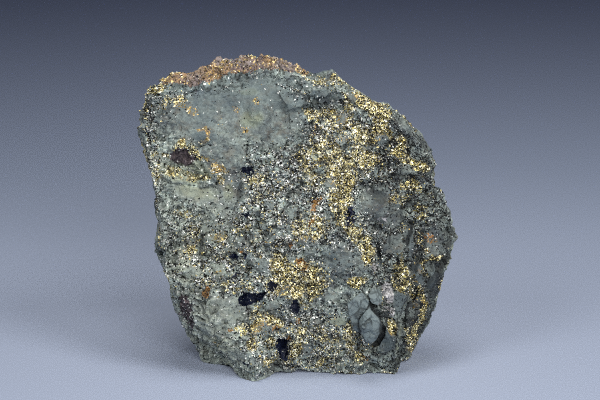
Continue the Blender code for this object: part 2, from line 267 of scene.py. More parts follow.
TEAL_AREAS = (
    ((-30.0, 99.0), (26.0, 9.0), 6.0, 0.75),
    ((-6.0, 98.0), (14.0, 7.0), -20.0, 0.75),
    ((-36.0, 88.0), (6.0, 3.4), 0.0, 0.7),
    ((-33.0, 81.6), (5.0, 3.0), 0.0, 0.9),
    ((-16.0, 93.2), (3.6, 4.0), 0.0, 0.7),
    ((-5.5, 26.8), (1.0, 2.1), -35.0, 0.9),
    ((7.0, 96.0), (4.0, 4.0), 0.0, 0.7),
    ((29.5, 80.0), (2.3, 2.6), 0.0, 0.7),
    ((43.6, 66.6), (3.0, 2.4), 0.0, 0.7),
    ((14.1, 38.2), (5.7, 4.3), 0.0, 0.5),
    ((27.0, 43.6), (3.0, 3.0), 0.0, 0.6),
    ((40.4, 44.4), (1.5, 5.4), 8.0, 0.5),
    ((43.0, 33.4), (2.0, 5.0), 0.0, 1.0),
    ((49.6, 31.0), (2.0, 5.0), -12.0, 1.0),
    ((37.0, 22.4), (3.2, 4.6), 0.0, 0.9),
    ((31.6, 7.6), (3.2, 4.8), 0.0, 1.0),
)
# Outlines on the front as seen, in mm
PITS = (
    ((-21.8, 22.6), (-20.0, 25.9), (-17.2, 26.2), (-16.4, 24.4), (-15.8, 25.8), (-13.5, 26.2), (-13.2, 23.4),
     (-14.4, 21.4), (-16.2, 22.2), (-17.4, 22.8), (-18.8, 21.0), (-20.8, 21.2)),
    ((-11.0, 30.6), (-9.0, 30.6), (-7.8, 28.4), (-7.7, 26.2), (-9.0, 26.2), (-10.2, 28.2)),
    ((-3.3, 21.1), (-2.5, 23.0), (-0.9, 23.4), (-1.1, 21.6), (-0.2, 20.0), (-1.1, 18.6), (0.6, 16.9), (-1.1, 17.9),
     (-2.6, 19.2)),
    ((-8.3, 7.6), (-6.4, 8.6), (-4.6, 7.0), (-4.2, 3.8), (-4.5, 0.8), (-6.4, 0.4), (-7.7, 1.6), (-7.4, 4.6)),
    ((16.8, 57.4), (19.6, 57.2), (19.2, 53.6), (17.8, 50.8), (16.2, 51.0), (16.8, 53.6)),
    ((-22.6, 1.0), (-20.7, 0.8), (-18.8, -0.4), (-19.9, -1.4), (-22.1, -0.4)),
    ((-25.4, 40.2), (-23.6, 40.0), (-22.4, 39.0), (-22.8, 37.8), (-24.2, 37.6), (-25.2, 38.4)),
    ((-21.2, 40.4), (-19.2, 40.4), (-18.6, 38.6), (-20.4, 38.0)),
    ((-25.0, 35.4), (-22.6, 35.0), (-22.2, 32.8), (-24.4, 33.2)),
    ((-20.7, 54.2), (-19.8, 55.0), (-18.0, 55.6), (-18.4, 53.8), (-20.2, 52.6)),
    ((-19.3, 69.4), (-17.6, 71.0), (-16.4, 70.8), (-16.9, 69.0), (-18.4, 67.9)),
)
PURPLES = (
    ((-47.2, 74.4), (-45.2, 76.0), (-43.6, 78.4), (-42.0, 77.8), (-40.2, 76.4), (-37.0, 74.6), (-37.2, 72.8),
     (-38.8, 71.2), (-40.4, 72.0), (-42.4, 73.0), (-44.6, 73.6)),
    ((-43.4, 26.1), (-40.7, 24.4), (-39.4, 22.3), (-39.6, 19.5), (-40.0, 17.3), (-38.9, 14.4), (-39.3, 11.7),
     (-41.2, 12.2), (-44.2, 16.9), (-44.6, 19.5), (-44.2, 22.3)),
)
RUSTS = (
    (((-35.2, 25.6), (-32.4, 28.6), (-31.1, 27.5), (-32.7, 24.3), (-33.7, 23.7)), 1.0),
    (((-22.2, 41.4), (-21.4, 42.6), (-20.2, 42.0), (-20.6, 40.4), (-21.6, 40.3)), 1.0),
    (((-1.6, 38.6), (1.6, 38.4), (3.4, 36.4), (2.4, 33.4), (0.6, 33.8), (-1.2, 35.6)), 0.9),
    (((3.0, 50.2), (5.8, 52.6), (6.0, 54.2), (3.8, 53.6), (2.2, 50.8)), 1.0),
    (((3.2, 56.0), (4.6, 59.0), (7.4, 61.4), (8.0, 59.6), (5.6, 57.4), (4.6, 55.6)), 0.9),
    (((-4.0, 44.4), (-2.4, 44.2), (-2.4, 42.2), (-3.8, 42.4)), 0.9),
    (((4.8, 81.4), (6.0, 82.6), (6.4, 86.2), (5.2, 86.6), (4.4, 84.0)), 0.55),
    (((-4.8, 8.9), (-3.8, 9.4), (-3.2, 7.6), (-4.0, 6.6), (-5.0, 7.6)), 0.9),
    (((-1.4, 16.6), (0.2, 16.6), (0.4, 15.0), (-1.0, 14.6)), 0.9),
    (((45.8, 48.0), (49.0, 47.4), (50.0, 43.6), (47.4, 43.2), (45.6, 45.0)), 0.5),
    (((40.8, 5.6), (43.4, 5.0), (42.0, 2.6), (40.2, 3.4)), 0.8),
    (((-14.6, 18.0), (-11.6, 18.4), (-11.4, 14.0), (-13.4, 14.2)), 0.45),
    (((22.6, 2.6), (26.0, 2.4), (25.6, 0.4), (23.0, 0.4)), 0.6),
    (((-26.0, 13.8), (-23.8, 13.6), (-23.6, 11.8), (-25.6, 11.6)), 0.9),
    (((-9.9, 14.4), (-8.2, 14.4), (-8.2, 12.4), (-9.6, 12.4)), 0.9),
    (((-6.2, 38.6), (-4.8, 38.6), (-4.8, 36.8), (-6.0, 36.6)), 0.6),
)
QUARTZES = (
    (((28.0, 52.8), (30.0, 53.4), (32.0, 52.6), (31.6, 50.2), (28.6, 50.4)), 0.5),
    (((30.4, 29.0), (31.8, 30.0), (34.0, 27.8), (34.4, 25.0), (33.8, 22.4), (31.6, 21.9), (30.4, 24.0)), 1.0),
    (((26.2, 36.8), (27.8, 37.6), (28.2, 35.0), (27.0, 33.8), (25.8, 34.8)), 0.7),
    (((31.0, 21.0), (33.6, 21.2), (34.9, 19.2), (34.2, 17.2), (31.2, 17.6)), 0.7),
)
# Plates that flaked like shells: outlines as seen, and how far each stands out in mm
SHELLS = {
    "left": (((22.7, 26.7), (24.0, 24.0), (25.0, 21.8), (22.7, 19.3), (21.2, 16.9), (21.0, 14.2), (21.8, 11.7),
              (20.2, 11.9), (18.3, 15.0), (17.6, 18.0), (17.1, 20.7), (16.9, 22.6), (19.7, 25.3)), 0.5),
    "upper": (((24.3, 26.4), (26.2, 28.1), (28.4, 27.8), (30.0, 26.1), (30.0, 23.4), (28.4, 21.8), (26.8, 22.1),
               (25.4, 22.6), (24.8, 24.0)), 0.4),
    "round": (((25.3, 21.9), (27.0, 20.2), (28.7, 18.0), (29.8, 15.0), (28.9, 11.9), (27.3, 9.2), (25.4, 7.9),
               (23.5, 8.7), (22.7, 10.6), (21.7, 12.2), (21.2, 14.7), (21.4, 16.9), (22.7, 19.0), (24.0, 20.7)), 0.9),
    "lobe": (((22.7, 14.4), (23.2, 16.0), (24.6, 17.2), (26.2, 17.7), (27.8, 17.4), (29.3, 15.0), (28.5, 12.1),
              (26.8, 9.6), (25.2, 8.7), (23.6, 9.6), (22.7, 11.8)), 0.5),
}
# Crevices as seen: the points each runs through, half width and depth in mm, and how dark each is painted: painted
# shade in the crevice, and dark rock in some
CREVICES = (
    (((26.2, 20.9), (29.4, 17.6), (30.8, 15.0), (29.8, 11.4), (28.2, 8.5), (26.0, 6.9)), 0.8, 1.4, 0.95),
    (((25.1, 22.1), (22.6, 19.2), (21.2, 16.9), (21.0, 14.2), (21.9, 11.4)), 0.28, 0.9, 0.85),
    (((22.6, 27.4), (24.2, 24.6), (25.2, 22.2), (27.0, 21.6)), 0.4, 0.9, 0.8),
    (((22.9, 14.8), (23.6, 16.4), (25.0, 17.5)), 0.25, 0.6, 0.6),
    (((-20.1, 65.3), (-20.7, 64.2), (-21.3, 59.3), (-23.2, 55.5)), 0.6, 0.9, 0.6),
    (((-8.8, 50.8), (-11.2, 48.5), (-13.7, 45.1)), 0.5, 1.0, 0.8),
    (((-10.2, 47.5), (-11.9, 45.3)), 0.35, 0.6, 0.6),
    (((-5.0, 60.6), (-2.2, 62.8), (1.6, 65.5)), 0.5, 0.9, 0.8),
    (((8.7, 47.0), (8.9, 44.8), (7.6, 43.1)), 0.4, 0.9, 0.9),
    (((14.4, 56.0), (13.3, 52.5), (15.2, 48.9)), 0.5, 0.9, 0.8),
    (((13.6, 45.9), (16.1, 44.2)), 0.5, 0.8, 0.8),
    (((7.3, 38.5), (9.2, 39.0), (11.4, 37.7)), 0.4, 0.8, 0.7),
    (((28.2, 42.0), (28.8, 38.0), (29.4, 33.6)), 0.55, 1.4, 0.95),
    (((45.2, 47.8), (45.5, 43.2), (43.4, 38.5), (41.6, 34.6)), 1.1, 1.6, 0.7),
    (((40.9, 31.0), (43.0, 23.9), (42.3, 19.6)), 1.5, 1.2, 0.6),
    (((51.3, 35.3), (48.8, 30.3), (46.6, 26.8)), 1.0, 1.2, 0.7),
    (((42.4, 22.6), (41.9, 18.6)), 0.9, 1.2, 1.0),
    (((41.9, 18.6), (40.6, 14.8)), 2.0, 1.2, 1.0),
    (((40.6, 14.8), (39.6, 11.0), (38.9, 6.0)), 1.0, 1.2, 1.0),
    (((54.4, 38.0), (52.0, 33.6), (50.6, 28.0), (48.6, 22.6)), 1.0, 0.4, 0.85),
    (((41.0, 51.4), (39.6, 46.0), (38.4, 40.6)), 0.6, 1.1, 0.85),
    (((-37.9, 40.4), (-34.1, 40.1), (-31.4, 39.3)), 0.4, 0.8, 0.7),
    (((-34.8, 46.7), (-34.1, 43.2), (-35.1, 40.4)), 0.7, 0.9, 0.8),
    (((-6.2, 1.8), (-2.3, 1.1)), 0.6, 0.9, 0.8),
    (((-3.4, 90.3), (2.0, 92.1), (9.1, 94.2), (13.8, 96.7)), 0.8, 0.7, 0.3),
    (((-7.6, 97.0), (-5.6, 92.0), (-4.4, 87.0)), 1.6, 0.5, 0.35),
    (((-45.1, 74.2), (-41.9, 72.4), (-37.6, 71.9)), 0.4, 0.7, 0.7),
    (((22.7, 65.0), (25.9, 62.5), (29.5, 60.0)), 1.7, 0.9, 0.6),
    (((37.3, 55.3), (37.7, 50.3)), 1.3, 0.7, 0.45),
    (((52.3, 37.5), (54.5, 38.9), (56.2, 41.8)), 0.8, 1.0, 0.7),
    (((-35.5, 21.6), (-34.8, 17.2), (-31.4, 14.8)), 0.3, 0.4, 0.5),
    (((30.4, 3.0), (35.5, 4.4), (37.0, 9.6)), 0.5, 0.6, 0.4),
    (((8.0, 72.4), (15.0, 74.6), (22.0, 72.0)), 0.35, 0.7, 0.7),
    (((0.6, 84.6), (6.4, 88.2), (12.6, 90.4)), 0.5, 0.7, 0.6),
)
# The lower edge of the crust along the crest: across and up as seen
CRUST_EDGE = ((-58.0, 100.2), (-48.0, 101.7), (-35.5, 101.2), (-23.0, 105.0), (-13.4, 107.2), (0.2, 105.4), (8.0, 104.6))


class RockSettings(PropertyGroup):
    """Sizes and colours of the broken rock."""

    step: FloatProperty(
        name="Mesh step", description="Size of the rock's faces at the back", default=1.08 * MM, unit="LENGTH", precision=5
    )
    lump: FloatProperty(
        name="Lumps", description="How far the lumps stand out", default=0.75 * MM, unit="LENGTH", precision=5
    )
    grit: FloatProperty(
        name="Grit", description="How far the grit stands out", default=0.34 * MM, unit="LENGTH", precision=5
    )
    blue_grey: FloatVectorProperty(
        name="Blue grey", description="Darker rock", subtype="COLOR", default=(0.128, 0.152, 0.160), min=0.0, max=1.0
    )
    grey_green: FloatVectorProperty(
        name="Grey green", description="Main rock", subtype="COLOR", default=(0.262, 0.308, 0.288), min=0.0, max=1.0
    )
    pale: FloatVectorProperty(
        name="Pale", description="Paler rock", subtype="COLOR", default=(0.375, 0.440, 0.400), min=0.0, max=1.0
    )
    brass: FloatVectorProperty(
        name="Brass", description="Sulphide in the rock", subtype="COLOR", default=(0.98, 0.87, 0.46), min=0.0, max=1.0
    )
    brass_shade: FloatVectorProperty(
        name="Dull brass", description="Duller sulphide", subtype="COLOR", default=(0.50, 0.41, 0.16), min=0.0, max=1.0
    )


class GrainSettings(PropertyGroup):
    """Sizes, numbers and colours of the grains that stand on the rock."""

    brass_size: FloatProperty(
        name="Brass grain", description="Half width of a brass grain", default=0.35 * MM, unit="LENGTH", precision=5
    )
    brass_gap: FloatProperty(
        name="Brass gap", description="Least distance between brass grains", default=0.46 * MM, unit="LENGTH", precision=5
    )
    dark_size: FloatProperty(
        name="Dark grain", description="Half width of a dark grain", default=0.36 * MM, unit="LENGTH", precision=5
    )
    pale_size: FloatProperty(
        name="Pale grain", description="Half width of a pale grain", default=0.30 * MM, unit="LENGTH", precision=5
    )
    seed: IntProperty(name="Seed", description="Which scatter of grains is made", default=11)
    brass: FloatVectorProperty(
        name="Brass", description="Chalcopyrite", subtype="COLOR", default=(0.88, 0.77, 0.38), min=0.0, max=1.0
    )
    brass_shade: FloatVectorProperty(
        name="Dull brass", description="Duller grains", subtype="COLOR", default=(0.50, 0.41, 0.16), min=0.0, max=1.0
    )


class StageSettings(PropertyGroup):
    """The floor, the lights and the camera."""

    # The floor colours darken from near to far: painted falloff of the light
    floor: FloatVectorProperty(
        name="Floor", description="Floor near the block", subtype="COLOR", default=(0.385, 0.437, 0.560), min=0.0, max=1.0
    )
    floor_middle: FloatVectorProperty(
        name="Floor farther", description="Floor behind the block", subtype="COLOR", default=(0.317, 0.372, 0.500),
        min=0.0, max=1.0
    )
    floor_far: FloatVectorProperty(
        name="Floor far off", description="Floor a metre away", subtype="COLOR", default=(0.252, 0.300, 0.459),
        min=0.0, max=1.0
    )
    right_power: FloatProperty(name="Right light", description="Power of the right light", default=3.1, unit="POWER")
    left_power: FloatProperty(name="Left light", description="Power of the left light", default=1.9, unit="POWER")
    top_power: FloatProperty(name="Top light", description="Power of the top light", default=2.5, unit="POWER")
    front_power: FloatProperty(name="Front light", description="Power of the front light", default=4.4, unit="POWER")
    back_power: FloatProperty(name="Back light", description="Power of the light behind", default=2.6, unit="POWER")
    lens: FloatProperty(name="Lens", description="Focal length", default=105.0, unit="CAMERA")
    distance: FloatProperty(
        name="Distance", description="From the lens to the block", default=0.6405, unit="LENGTH", precision=4
    )
    elevation: FloatProperty(
        name="Elevation", description="How far the camera looks down", default=SIGHT, subtype="ANGLE", unit="ROTATION"
    )


# Meshes


def object_of(mesh, name):
    obj = bpy.data.objects.new(name, mesh)
    bpy.context.scene.collection.objects.link(obj)
    return obj


def evaluated_mesh(obj):
    """The object's mesh with its modifiers in it."""
    graph = bpy.context.evaluated_depsgraph_get()
    return bpy.data.meshes.new_from_object(obj.evaluated_get(graph))


def merged_cad_copy(name):
    """A copy of the CAD block's mesh with its loose triangles joined."""
    bm = bmesh.new()
    bm.from_mesh(frame["nodes"][CAD_NODE].data)
    bmesh.ops.remove_doubles(bm, verts=bm.verts, dist=0.002 * MM)
    mesh = bpy.data.meshes.new(name)
    bm.to_mesh(mesh)
    bm.free()
    return mesh


def eased(value):
    value = np.clip(value, 0.0, 1.0)
    return value * value * (3.0 - 2.0 * value)


def seen_places(places):
    """Places in mm turned into across and up as the front is seen."""
    up = places[:, 2] * math.cos(SIGHT) + places[:, 1] * math.sin(SIGHT)
    return np.stack([places[:, 0], up], axis=1)


def towards_sight(facings):
    return facings @ np.array([0.0, -math.cos(SIGHT), math.sin(SIGHT)])


def in_ovals(seen, areas, edge=0.45):
    """How strongly each point lies in any of the areas, from 0 to 1."""
    strength = np.zeros(len(seen))
    for (across, up), (half_width, half_height), turn, most in areas:
        angle = math.radians(turn)
        dx, dz = seen[:, 0] - across, seen[:, 1] - up
        ox = (dx * math.cos(angle) + dz * math.sin(angle)) / half_width
        oz = (dz * math.cos(angle) - dx * math.sin(angle)) / half_height
        strength = np.maximum(strength, most * eased((1.0 + 0.5 * edge - np.hypot(ox, oz)) / edge))
    return strength


def line_distance(seen, points):
    nearest = np.full(len(seen), 1e9)
    for (x0, z0), (x1, z1) in zip(points, points[1:], strict=False):
        ex, ez = x1 - x0, z1 - z0
        share = ((seen[:, 0] - x0) * ex + (seen[:, 1] - z0) * ez) / (ex * ex + ez * ez)
        share = np.clip(share, 0.0, 1.0)
        nearest = np.minimum(nearest, np.hypot(seen[:, 0] - x0 - share * ex, seen[:, 1] - z0 - share * ez))
    return nearest


def in_strips(seen, strips):
    strength = np.zeros(len(seen))
    for points, half_width, most in strips:
        strength = np.maximum(strength, most * eased(1.5 - line_distance(seen, points) / half_width))
    return strength


def inside(seen, outline):
    """Whether each point lies inside the outline."""
    within = np.zeros(len(seen), bool)
    for (x0, z0), (x1, z1) in zip(outline, outline[1:] + outline[:1], strict=True):
        crosses = (z0 > seen[:, 1]) != (z1 > seen[:, 1])
        at = x0 + (seen[:, 1] - z0) * (x1 - x0) / (z1 - z0 if z1 != z0 else 1e-9)
        within ^= crosses & (seen[:, 0] < at)
    return within


def signed_distance(seen, outline):
    """Distance to the outline, above 0 inside it."""
    distance = line_distance(seen, outline + outline[:1])
    return np.where(inside(seen, outline), distance, -distance)


def in_outlines(seen, outlines, edge=0.5):
    """How strongly each point lies in any of the outlines; an outline may come with its own strength."""
    strength = np.zeros(len(seen))
    for entry in outlines:
        outline, most = entry if isinstance(entry[1], float) else (entry, 1.0)
        strength = np.maximum(strength, most * eased(signed_distance(seen, outline) / edge + 0.5))
    return strength


class Surface:
    """The rock's points in millimetres, where each is seen from the front, and how far it faces forward."""

    def __init__(self, mesh):
        count = len(mesh.vertices)
        places = np.empty(count * 3)
        facings = np.empty(count * 3)
        mesh.vertices.foreach_get("co", places)
        mesh.vertices.foreach_get("normal", facings)
        self.places = places.reshape(-1, 3) / MM
        self.facings = facings.reshape(-1, 3)
        self.seen = seen_places(self.places)
        self.towards = towards_sight(self.facings)
        self.front = eased((self.towards + 0.05) / 0.2) * eased((26.0 - self.places[:, 1]) / 12.0)
        self.small_cells = self.cells(1.7, 4.0)
        self.middle_cells = self.cells(2.9, 14.0)
        self.wide_cells = self.cells(4.6, 9.0)

    def noise(self, size, seed=0.0, octaves=2):
        shift = Vector((seed, -1.7 * seed, 0.6 * seed))
        return np.array([noise.fractal(Vector(p) / size + shift, 1.0, 2.0, octaves) for p in self.places])

    def cells(self, size, seed=0.0):
        """For each point: nearness to its cell's middle, distance from the cell's edge, and the cell's own slope."""
        shift = Vector((seed, -1.7 * seed, 0.6 * seed))
        near, gap, tilt = [], [], []
        for p in self.places:
            place = Vector(p) / size + shift
            distances, centres = noise.voronoi(place)
            near.append(distances[0])
            gap.append(distances[1] - distances[0])
            tilt.append(noise.cell(centres[0] * 3.7) + (place - centres[0]).dot(noise.cell_vector(centres[0] * 7.3)))
        return np.array(near), np.array(gap), np.array(tilt)


def crust_share(surface):
    edge_across, edge_up = np.array(CRUST_EDGE).T
    above = surface.seen[:, 1] - np.interp(surface.seen[:, 0], edge_across, edge_up)
    above += 0.9 * surface.noise(3.0, 44.0)
    share = eased(above / 0.9) * eased((8.0 - surface.places[:, 0]) / 8.0) * eased((surface.places[:, 0] + 57.0) / 3.0)
    return share * eased((20.0 - surface.places[:, 1]) / 8.0) * eased((surface.towards + 0.5) / 0.3)


def character(surface):
    """What each point of the rock is like: shares of brass, speckle, calm rock, stains and so on."""
    front = surface.front
    back = 1.0 - front
    wobble = np.stack([surface.noise(4.0, 3.0), surface.noise(4.0, 8.0)], axis=1)
    ragged = surface.seen + 1.1 * wobble
    close = surface.seen + 0.35 * wobble
    clusters = surface.noise(3.4, 33.0, 3)
    bands = surface.noise(16.0, 21.0, 3)
    elsewhere = eased((bands + 0.5 * clusters - 0.10) / 0.35)
    calm_elsewhere = eased((surface.noise(15.0, 51.0, 3) + 0.05) / 0.25)
    gold = np.maximum(in_ovals(ragged, GOLD_AREAS, 0.8), in_strips(ragged, GOLD_STRIPS))
    salt = in_ovals(ragged, SALT_AREAS, 0.7)
    calm = in_ovals(ragged, CALM_AREAS, 0.5)
    values = {
        "gold": front * np.clip(gold * (1.0 + 1.1 * clusters), 0.0, 1.0) + back * 0.7 * elsewhere,
        "salt": np.clip(front * salt + back * (0.45 + 0.9 * bands), 0.0, 1.0) * eased(0.75 + 1.1 * clusters),
        "calm": front * calm + back * calm_elsewhere * (1.0 - elsewhere),
        "pit": front * in_outlines(close, PITS, 1.5),
        "purple": front * in_outlines(close, PURPLES, 2.0),
        "olive": front * in_ovals(ragged, OLIVE_AREAS, 0.7) + back * 0.8 * eased((surface.noise(13.0, 71.0) - 0.2) / 0.2),
        "teal": front * in_ovals(ragged, TEAL_AREAS, 0.8) + back * eased((surface.noise(12.0, 77.0) - 0.25) / 0.2),
        "bright": front * in_ovals(ragged, BRIGHT_AREAS, 0.8),
        "rust": front * in_outlines(close, RUSTS, 1.8) + back * 0.8 * eased((surface.noise(7.0, 81.0) - 0.53) / 0.14),
        "quartz": front * in_outlines(close, QUARTZES, 1.3),
        "crust": crust_share(surface),
        # Darker towards the right of the front: painted shade, and darker rock
        "right_shade_and_dark_rock": front * eased((surface.seen[:, 0] - 14.0) / 22.0),
    }
    shells = front * in_outlines(surface.seen, [outline for outline, _ in SHELLS.values()], 0.3)
    # Painted shade: dark colour in the crevices, in the joints between lumps and on the right rim; some crevices are
    # dark rock
    shade_and_dark_rock = np.zeros(len(front))
    for points, half_width, _, darkness in CREVICES:
        shade_and_dark_rock = np.maximum(shade_and_dark_rock, darkness * eased(1.6 - line_distance(close, points) / half_width))
    # Painted shade on the rim that turns to the right
    right_rim_shade = eased((surface.facings[:, 0] - 0.58) / 0.3) * eased((54.0 - surface.seen[:, 1]) / 12.0)
    # Painted shade in the joints between the lumps
    joint_shade = eased(1.0 - surface.wide_cells[1] / 0.13) * eased(surface.noise(8.0, 15.0) / 0.2 + 0.4)
    joint_shade = np.maximum(joint_shade, 0.8 * eased(1.0 - surface.middle_cells[1] / 0.14) * eased(surface.noise(6.0, 19.0) / 0.2 + 0.2))
    open_line = 1.0 - shade_and_dark_rock
    shade_and_dark_rock = np.maximum(shade_and_dark_rock, 0.75 * joint_shade * (1.0 - values["calm"]) * (1.0 - values["crust"]))
    values["shade_and_dark_rock"] = front * np.maximum(shade_and_dark_rock, 0.85 * right_rim_shade * (1.0 - values["gold"]))
    values["shell"] = shells
    plain = np.clip(values["pit"] + values["quartz"] + values["purple"] + 0.75 * front * values["rust"] + shells, 0.0, 1.0)
    values["gold"] = np.maximum(values["gold"] * (1.0 - 0.4 * values["calm"]), 0.15 * values["crust"])
    for name in ("gold", "salt", "shade_and_dark_rock"):
        values[name] *= 1.0 if name == "shade_and_dark_rock" else (1.0 - 0.95 * plain) * (0.05 + 0.95 * open_line)
    values["calm"] = np.maximum(values["calm"], shells) * (1.0 - values["crust"])
    return values


def relief(surface, values, settings):
    """How far each point moves out, in millimetres."""
    rough = (1.0 - 0.72 * np.clip(values["calm"], 0.0, 1.0)) * (1.0 - 0.9 * values["shell"])
    lump, grit = settings.lump / MM, settings.grit / MM
    near, edge, tilt = surface.small_cells
    _, middle_gap, middle_tilt = surface.middle_cells
    _, gap, wide_tilt = surface.wide_cells
    out = rough * lump * 1.3 * surface.noise(5.0, 5.0, 3)
    out += rough * lump * 1.1 * (wide_tilt - 0.5)
    out += rough * lump * 0.6 * (middle_tilt - 0.5)
    out -= rough * 0.5 * eased(1.0 - middle_gap / 0.12)
    out += rough * grit * (1.1 - 2.0 * near + 1.3 * (tilt - 0.5))
    out -= rough * 0.45 * eased(1.0 - edge / 0.12)
    out -= rough * 0.8 * eased(1.0 - gap / 0.09) * eased(surface.noise(9.0, 15.0) / 0.15)
    out += values["crust"] * (0.9 + 0.8 * surface.noise(2.4, 25.0, 2))
    out -= values["pit"] * 0.6 + values["purple"] * 0.5
    out *= 0.45 + 0.55 * eased((np.abs(surface.towards) - 0.15) / 0.4)
    out += 0.2
    out += values["quartz"] * (0.35 + 0.9 * surface.noise(1.6, 35.0))
    for outline, height in SHELLS.values():
        out += surface.front * height * (eased(signed_distance(surface.seen, outline) / 0.4 + 0.3) - 0.35)
    for points, half_width, depth, _ in CREVICES:
        out -= surface.front * depth * eased(1.35 - line_distance(surface.seen, points) / half_width)
    return out


def mesh_with(mesh, values):
    for name, numbers in values.items():
        attribute = mesh.attributes.new(name, "FLOAT", "POINT")
        attribute.data.foreach_set("value", np.clip(numbers, 0.0, 1.0).astype(np.float32))


def finer(bm, wanted):
    """Splits the edges of the faces that are wanted in two, given their middles and normals in numpy."""
    bm.faces.ensure_lookup_table()
    middles = np.array([face.calc_center_median() for face in bm.faces]) / MM
    facings = np.array([face.normal for face in bm.faces])
    chosen = np.flatnonzero(wanted(middles, facings))
    edges = {edge for number in chosen for edge in bm.faces[number].edges}
    bmesh.ops.subdivide_edges(bm, edges=list(edges), cuts=1, use_grid_fill=True)


def in_front(middles, facings):
    return (towards_sight(facings) > 0.2) & (middles[:, 1] < 18.0)


def by_shells(middles, facings):
    seen = seen_places(middles)
    near = np.hypot((seen[:, 0] - 24.2) / 8.8, (seen[:, 1] - 17.4) / 12.0) < 1.0
    return near & in_front(middles, facings)


def laid_on(bm, surface):
    """Moves the vertices back onto the block's surface, which smoothing has shrunk."""
    for vertex in bm.verts:
        nearest, facing, _, _ = surface.find_nearest(vertex.co)
        vertex.co = nearest


def rock_mesh(settings):
    block = merged_cad_copy("rock")
    bm = bmesh.new()
    bm.from_mesh(block)
    surface = BVHTree.FromBMesh(bm)
    bm.free()
    obj = object_of(block, "rock_rough")
    remesh = obj.modifiers.new("even", "REMESH")
    remesh.mode = "VOXEL"
    remesh.voxel_size = settings.step
    mesh = evaluated_mesh(obj)
    bpy.data.objects.remove(obj)
    bm = bmesh.new()
    bm.from_mesh(mesh)
    for wanted in (in_front, by_shells):
        bmesh.ops.smooth_vert(bm, verts=bm.verts, factor=0.5, use_axis_x=True, use_axis_y=True, use_axis_z=True)
        finer(bm, wanted)
        bm.normal_update()
    laid_on(bm, surface)
    bmesh.ops.smooth_vert(bm, verts=bm.verts, factor=0.5, use_axis_x=True, use_axis_y=True, use_axis_z=True)
    bmesh.ops.triangulate(bm, faces=[face for face in bm.faces if len(face.verts) > 4])
    bm.to_mesh(mesh)
    bm.free()
    surface = Surface(mesh)
    values = character(surface)
    out = relief(surface, values, settings)
    places = (surface.places + surface.facings * out[:, None]) * MM
    places[:, 2] = np.maximum(places[:, 2], 0.0)
    mesh.vertices.foreach_set("co", places.ravel())
    mesh.update()
    mesh_with(mesh, values)
    mesh.shade_smooth()
    mesh.set_sharp_from_angle(angle=math.radians(32.0))
    mesh.name = "rock"
    return mesh


# Shader nodes


def add(tree, kind, inputs=None, **settings):
    """A new node with its settings, and its inputs set or linked."""
    node = tree.nodes.new(kind)
    for name, value in settings.items():
        setattr(node, name, value)
    for socket, value in (inputs or {}).items():
        if isinstance(value, bpy.types.NodeSocket):
            tree.links.new(value, node.inputs[socket])
        else:
            node.inputs[socket].default_value = value
    return node


def maths(tree, operation, first, second=0.0, clamp=False):
    return add(tree, "ShaderNodeMath", {0: first, 1: second}, operation=operation, use_clamp=clamp).outputs[0]


def vectors(tree, operation, first, second=(0.0, 0.0, 0.0)):
    return add(tree, "ShaderNodeVectorMath", {0: first, 1: second}, operation=operation).outputs[0]


def blend(tree, share, first, second, how="MIX"):
    node = add(tree, "ShaderNodeMix", {0: share, 6: first, 7: second}, data_type="RGBA", blend_type=how)
    return node.outputs[2]


def between(tree, share, first, second):
    return add(tree, "ShaderNodeMix", {0: share, 2: first, 3: second}, data_type="FLOAT").outputs[0]


def ranged(tree, value, low, high, to_low=0.0, to_high=1.0):
    inputs = {"Value": value, "From Min": low, "From Max": high, "To Min": to_low, "To Max": to_high}
    return add(tree, "ShaderNodeMapRange", inputs).outputs[0]


def noise_value(tree, place, size, detail=2.0, roughness=0.5):
    """Noise whose forms are about this many millimetres across."""
    inputs = {"Vector": place, "Scale": 1.0 / size, "Detail": detail, "Roughness": roughness}
    return add(tree, "ShaderNodeTexNoise", inputs).outputs[0]


def attribute(tree, name):
    return add(tree, "ShaderNodeAttribute", attribute_name=name).outputs["Fac"]


def rgba(colour):
    return (*colour, 1.0)


def new_group(name, inputs, outputs):
    group = bpy.data.node_groups.new(name, "ShaderNodeTree")
    for socket, kind, default in inputs:
        made = group.interface.new_socket(name=socket, in_out="INPUT", socket_type=kind)
        if default is not None:
            made.default_value = default
    for socket, kind in outputs:
        group.interface.new_socket(name=socket, in_out="OUTPUT", socket_type=kind)
    return group, group.nodes.new("NodeGroupInput"), group.nodes.new("NodeGroupOutput")


def grain_cells_group():
    """Small angular grains: which of them are picked, each one's own tone, and which way each is tilted."""
    group, given, result = new_group(
        "grain_cells",
        [("Place", "NodeSocketVector", None), ("Size", "NodeSocketFloat", 0.8), ("Share", "NodeSocketFloat", 0.3)],
        [("Mask", "NodeSocketFloat"), ("Tone", "NodeSocketFloat"), ("Tilt", "NodeSocketVector")],
    )
    scale = maths(group, "DIVIDE", 1.0, given.outputs["Size"])
    warp = add(group, "ShaderNodeTexNoise", {"Vector": given.outputs["Place"], "Scale": 1.1, "Detail": 1.0})
    shifted = vectors(group, "SUBTRACT", warp.outputs["Color"], (0.5, 0.5, 0.5))
    shifted = vectors(group, "MULTIPLY", shifted, (0.9, 0.9, 0.9))
    place = vectors(group, "ADD", given.outputs["Place"], shifted)
    cells = add(group, "ShaderNodeTexVoronoi", {"Vector": place, "Scale": scale})
    parts = add(group, "ShaderNodeSeparateColor", {"Color": cells.outputs["Color"]})
    mask = maths(group, "LESS_THAN", parts.outputs[0], given.outputs["Share"])
    tilt = vectors(group, "SUBTRACT", cells.outputs["Color"], (0.5, 0.5, 0.5))
    group.links.new(mask, result.inputs["Mask"])
    group.links.new(parts.outputs[1], result.inputs["Tone"])
    group.links.new(tilt, result.inputs["Tilt"])
    return group


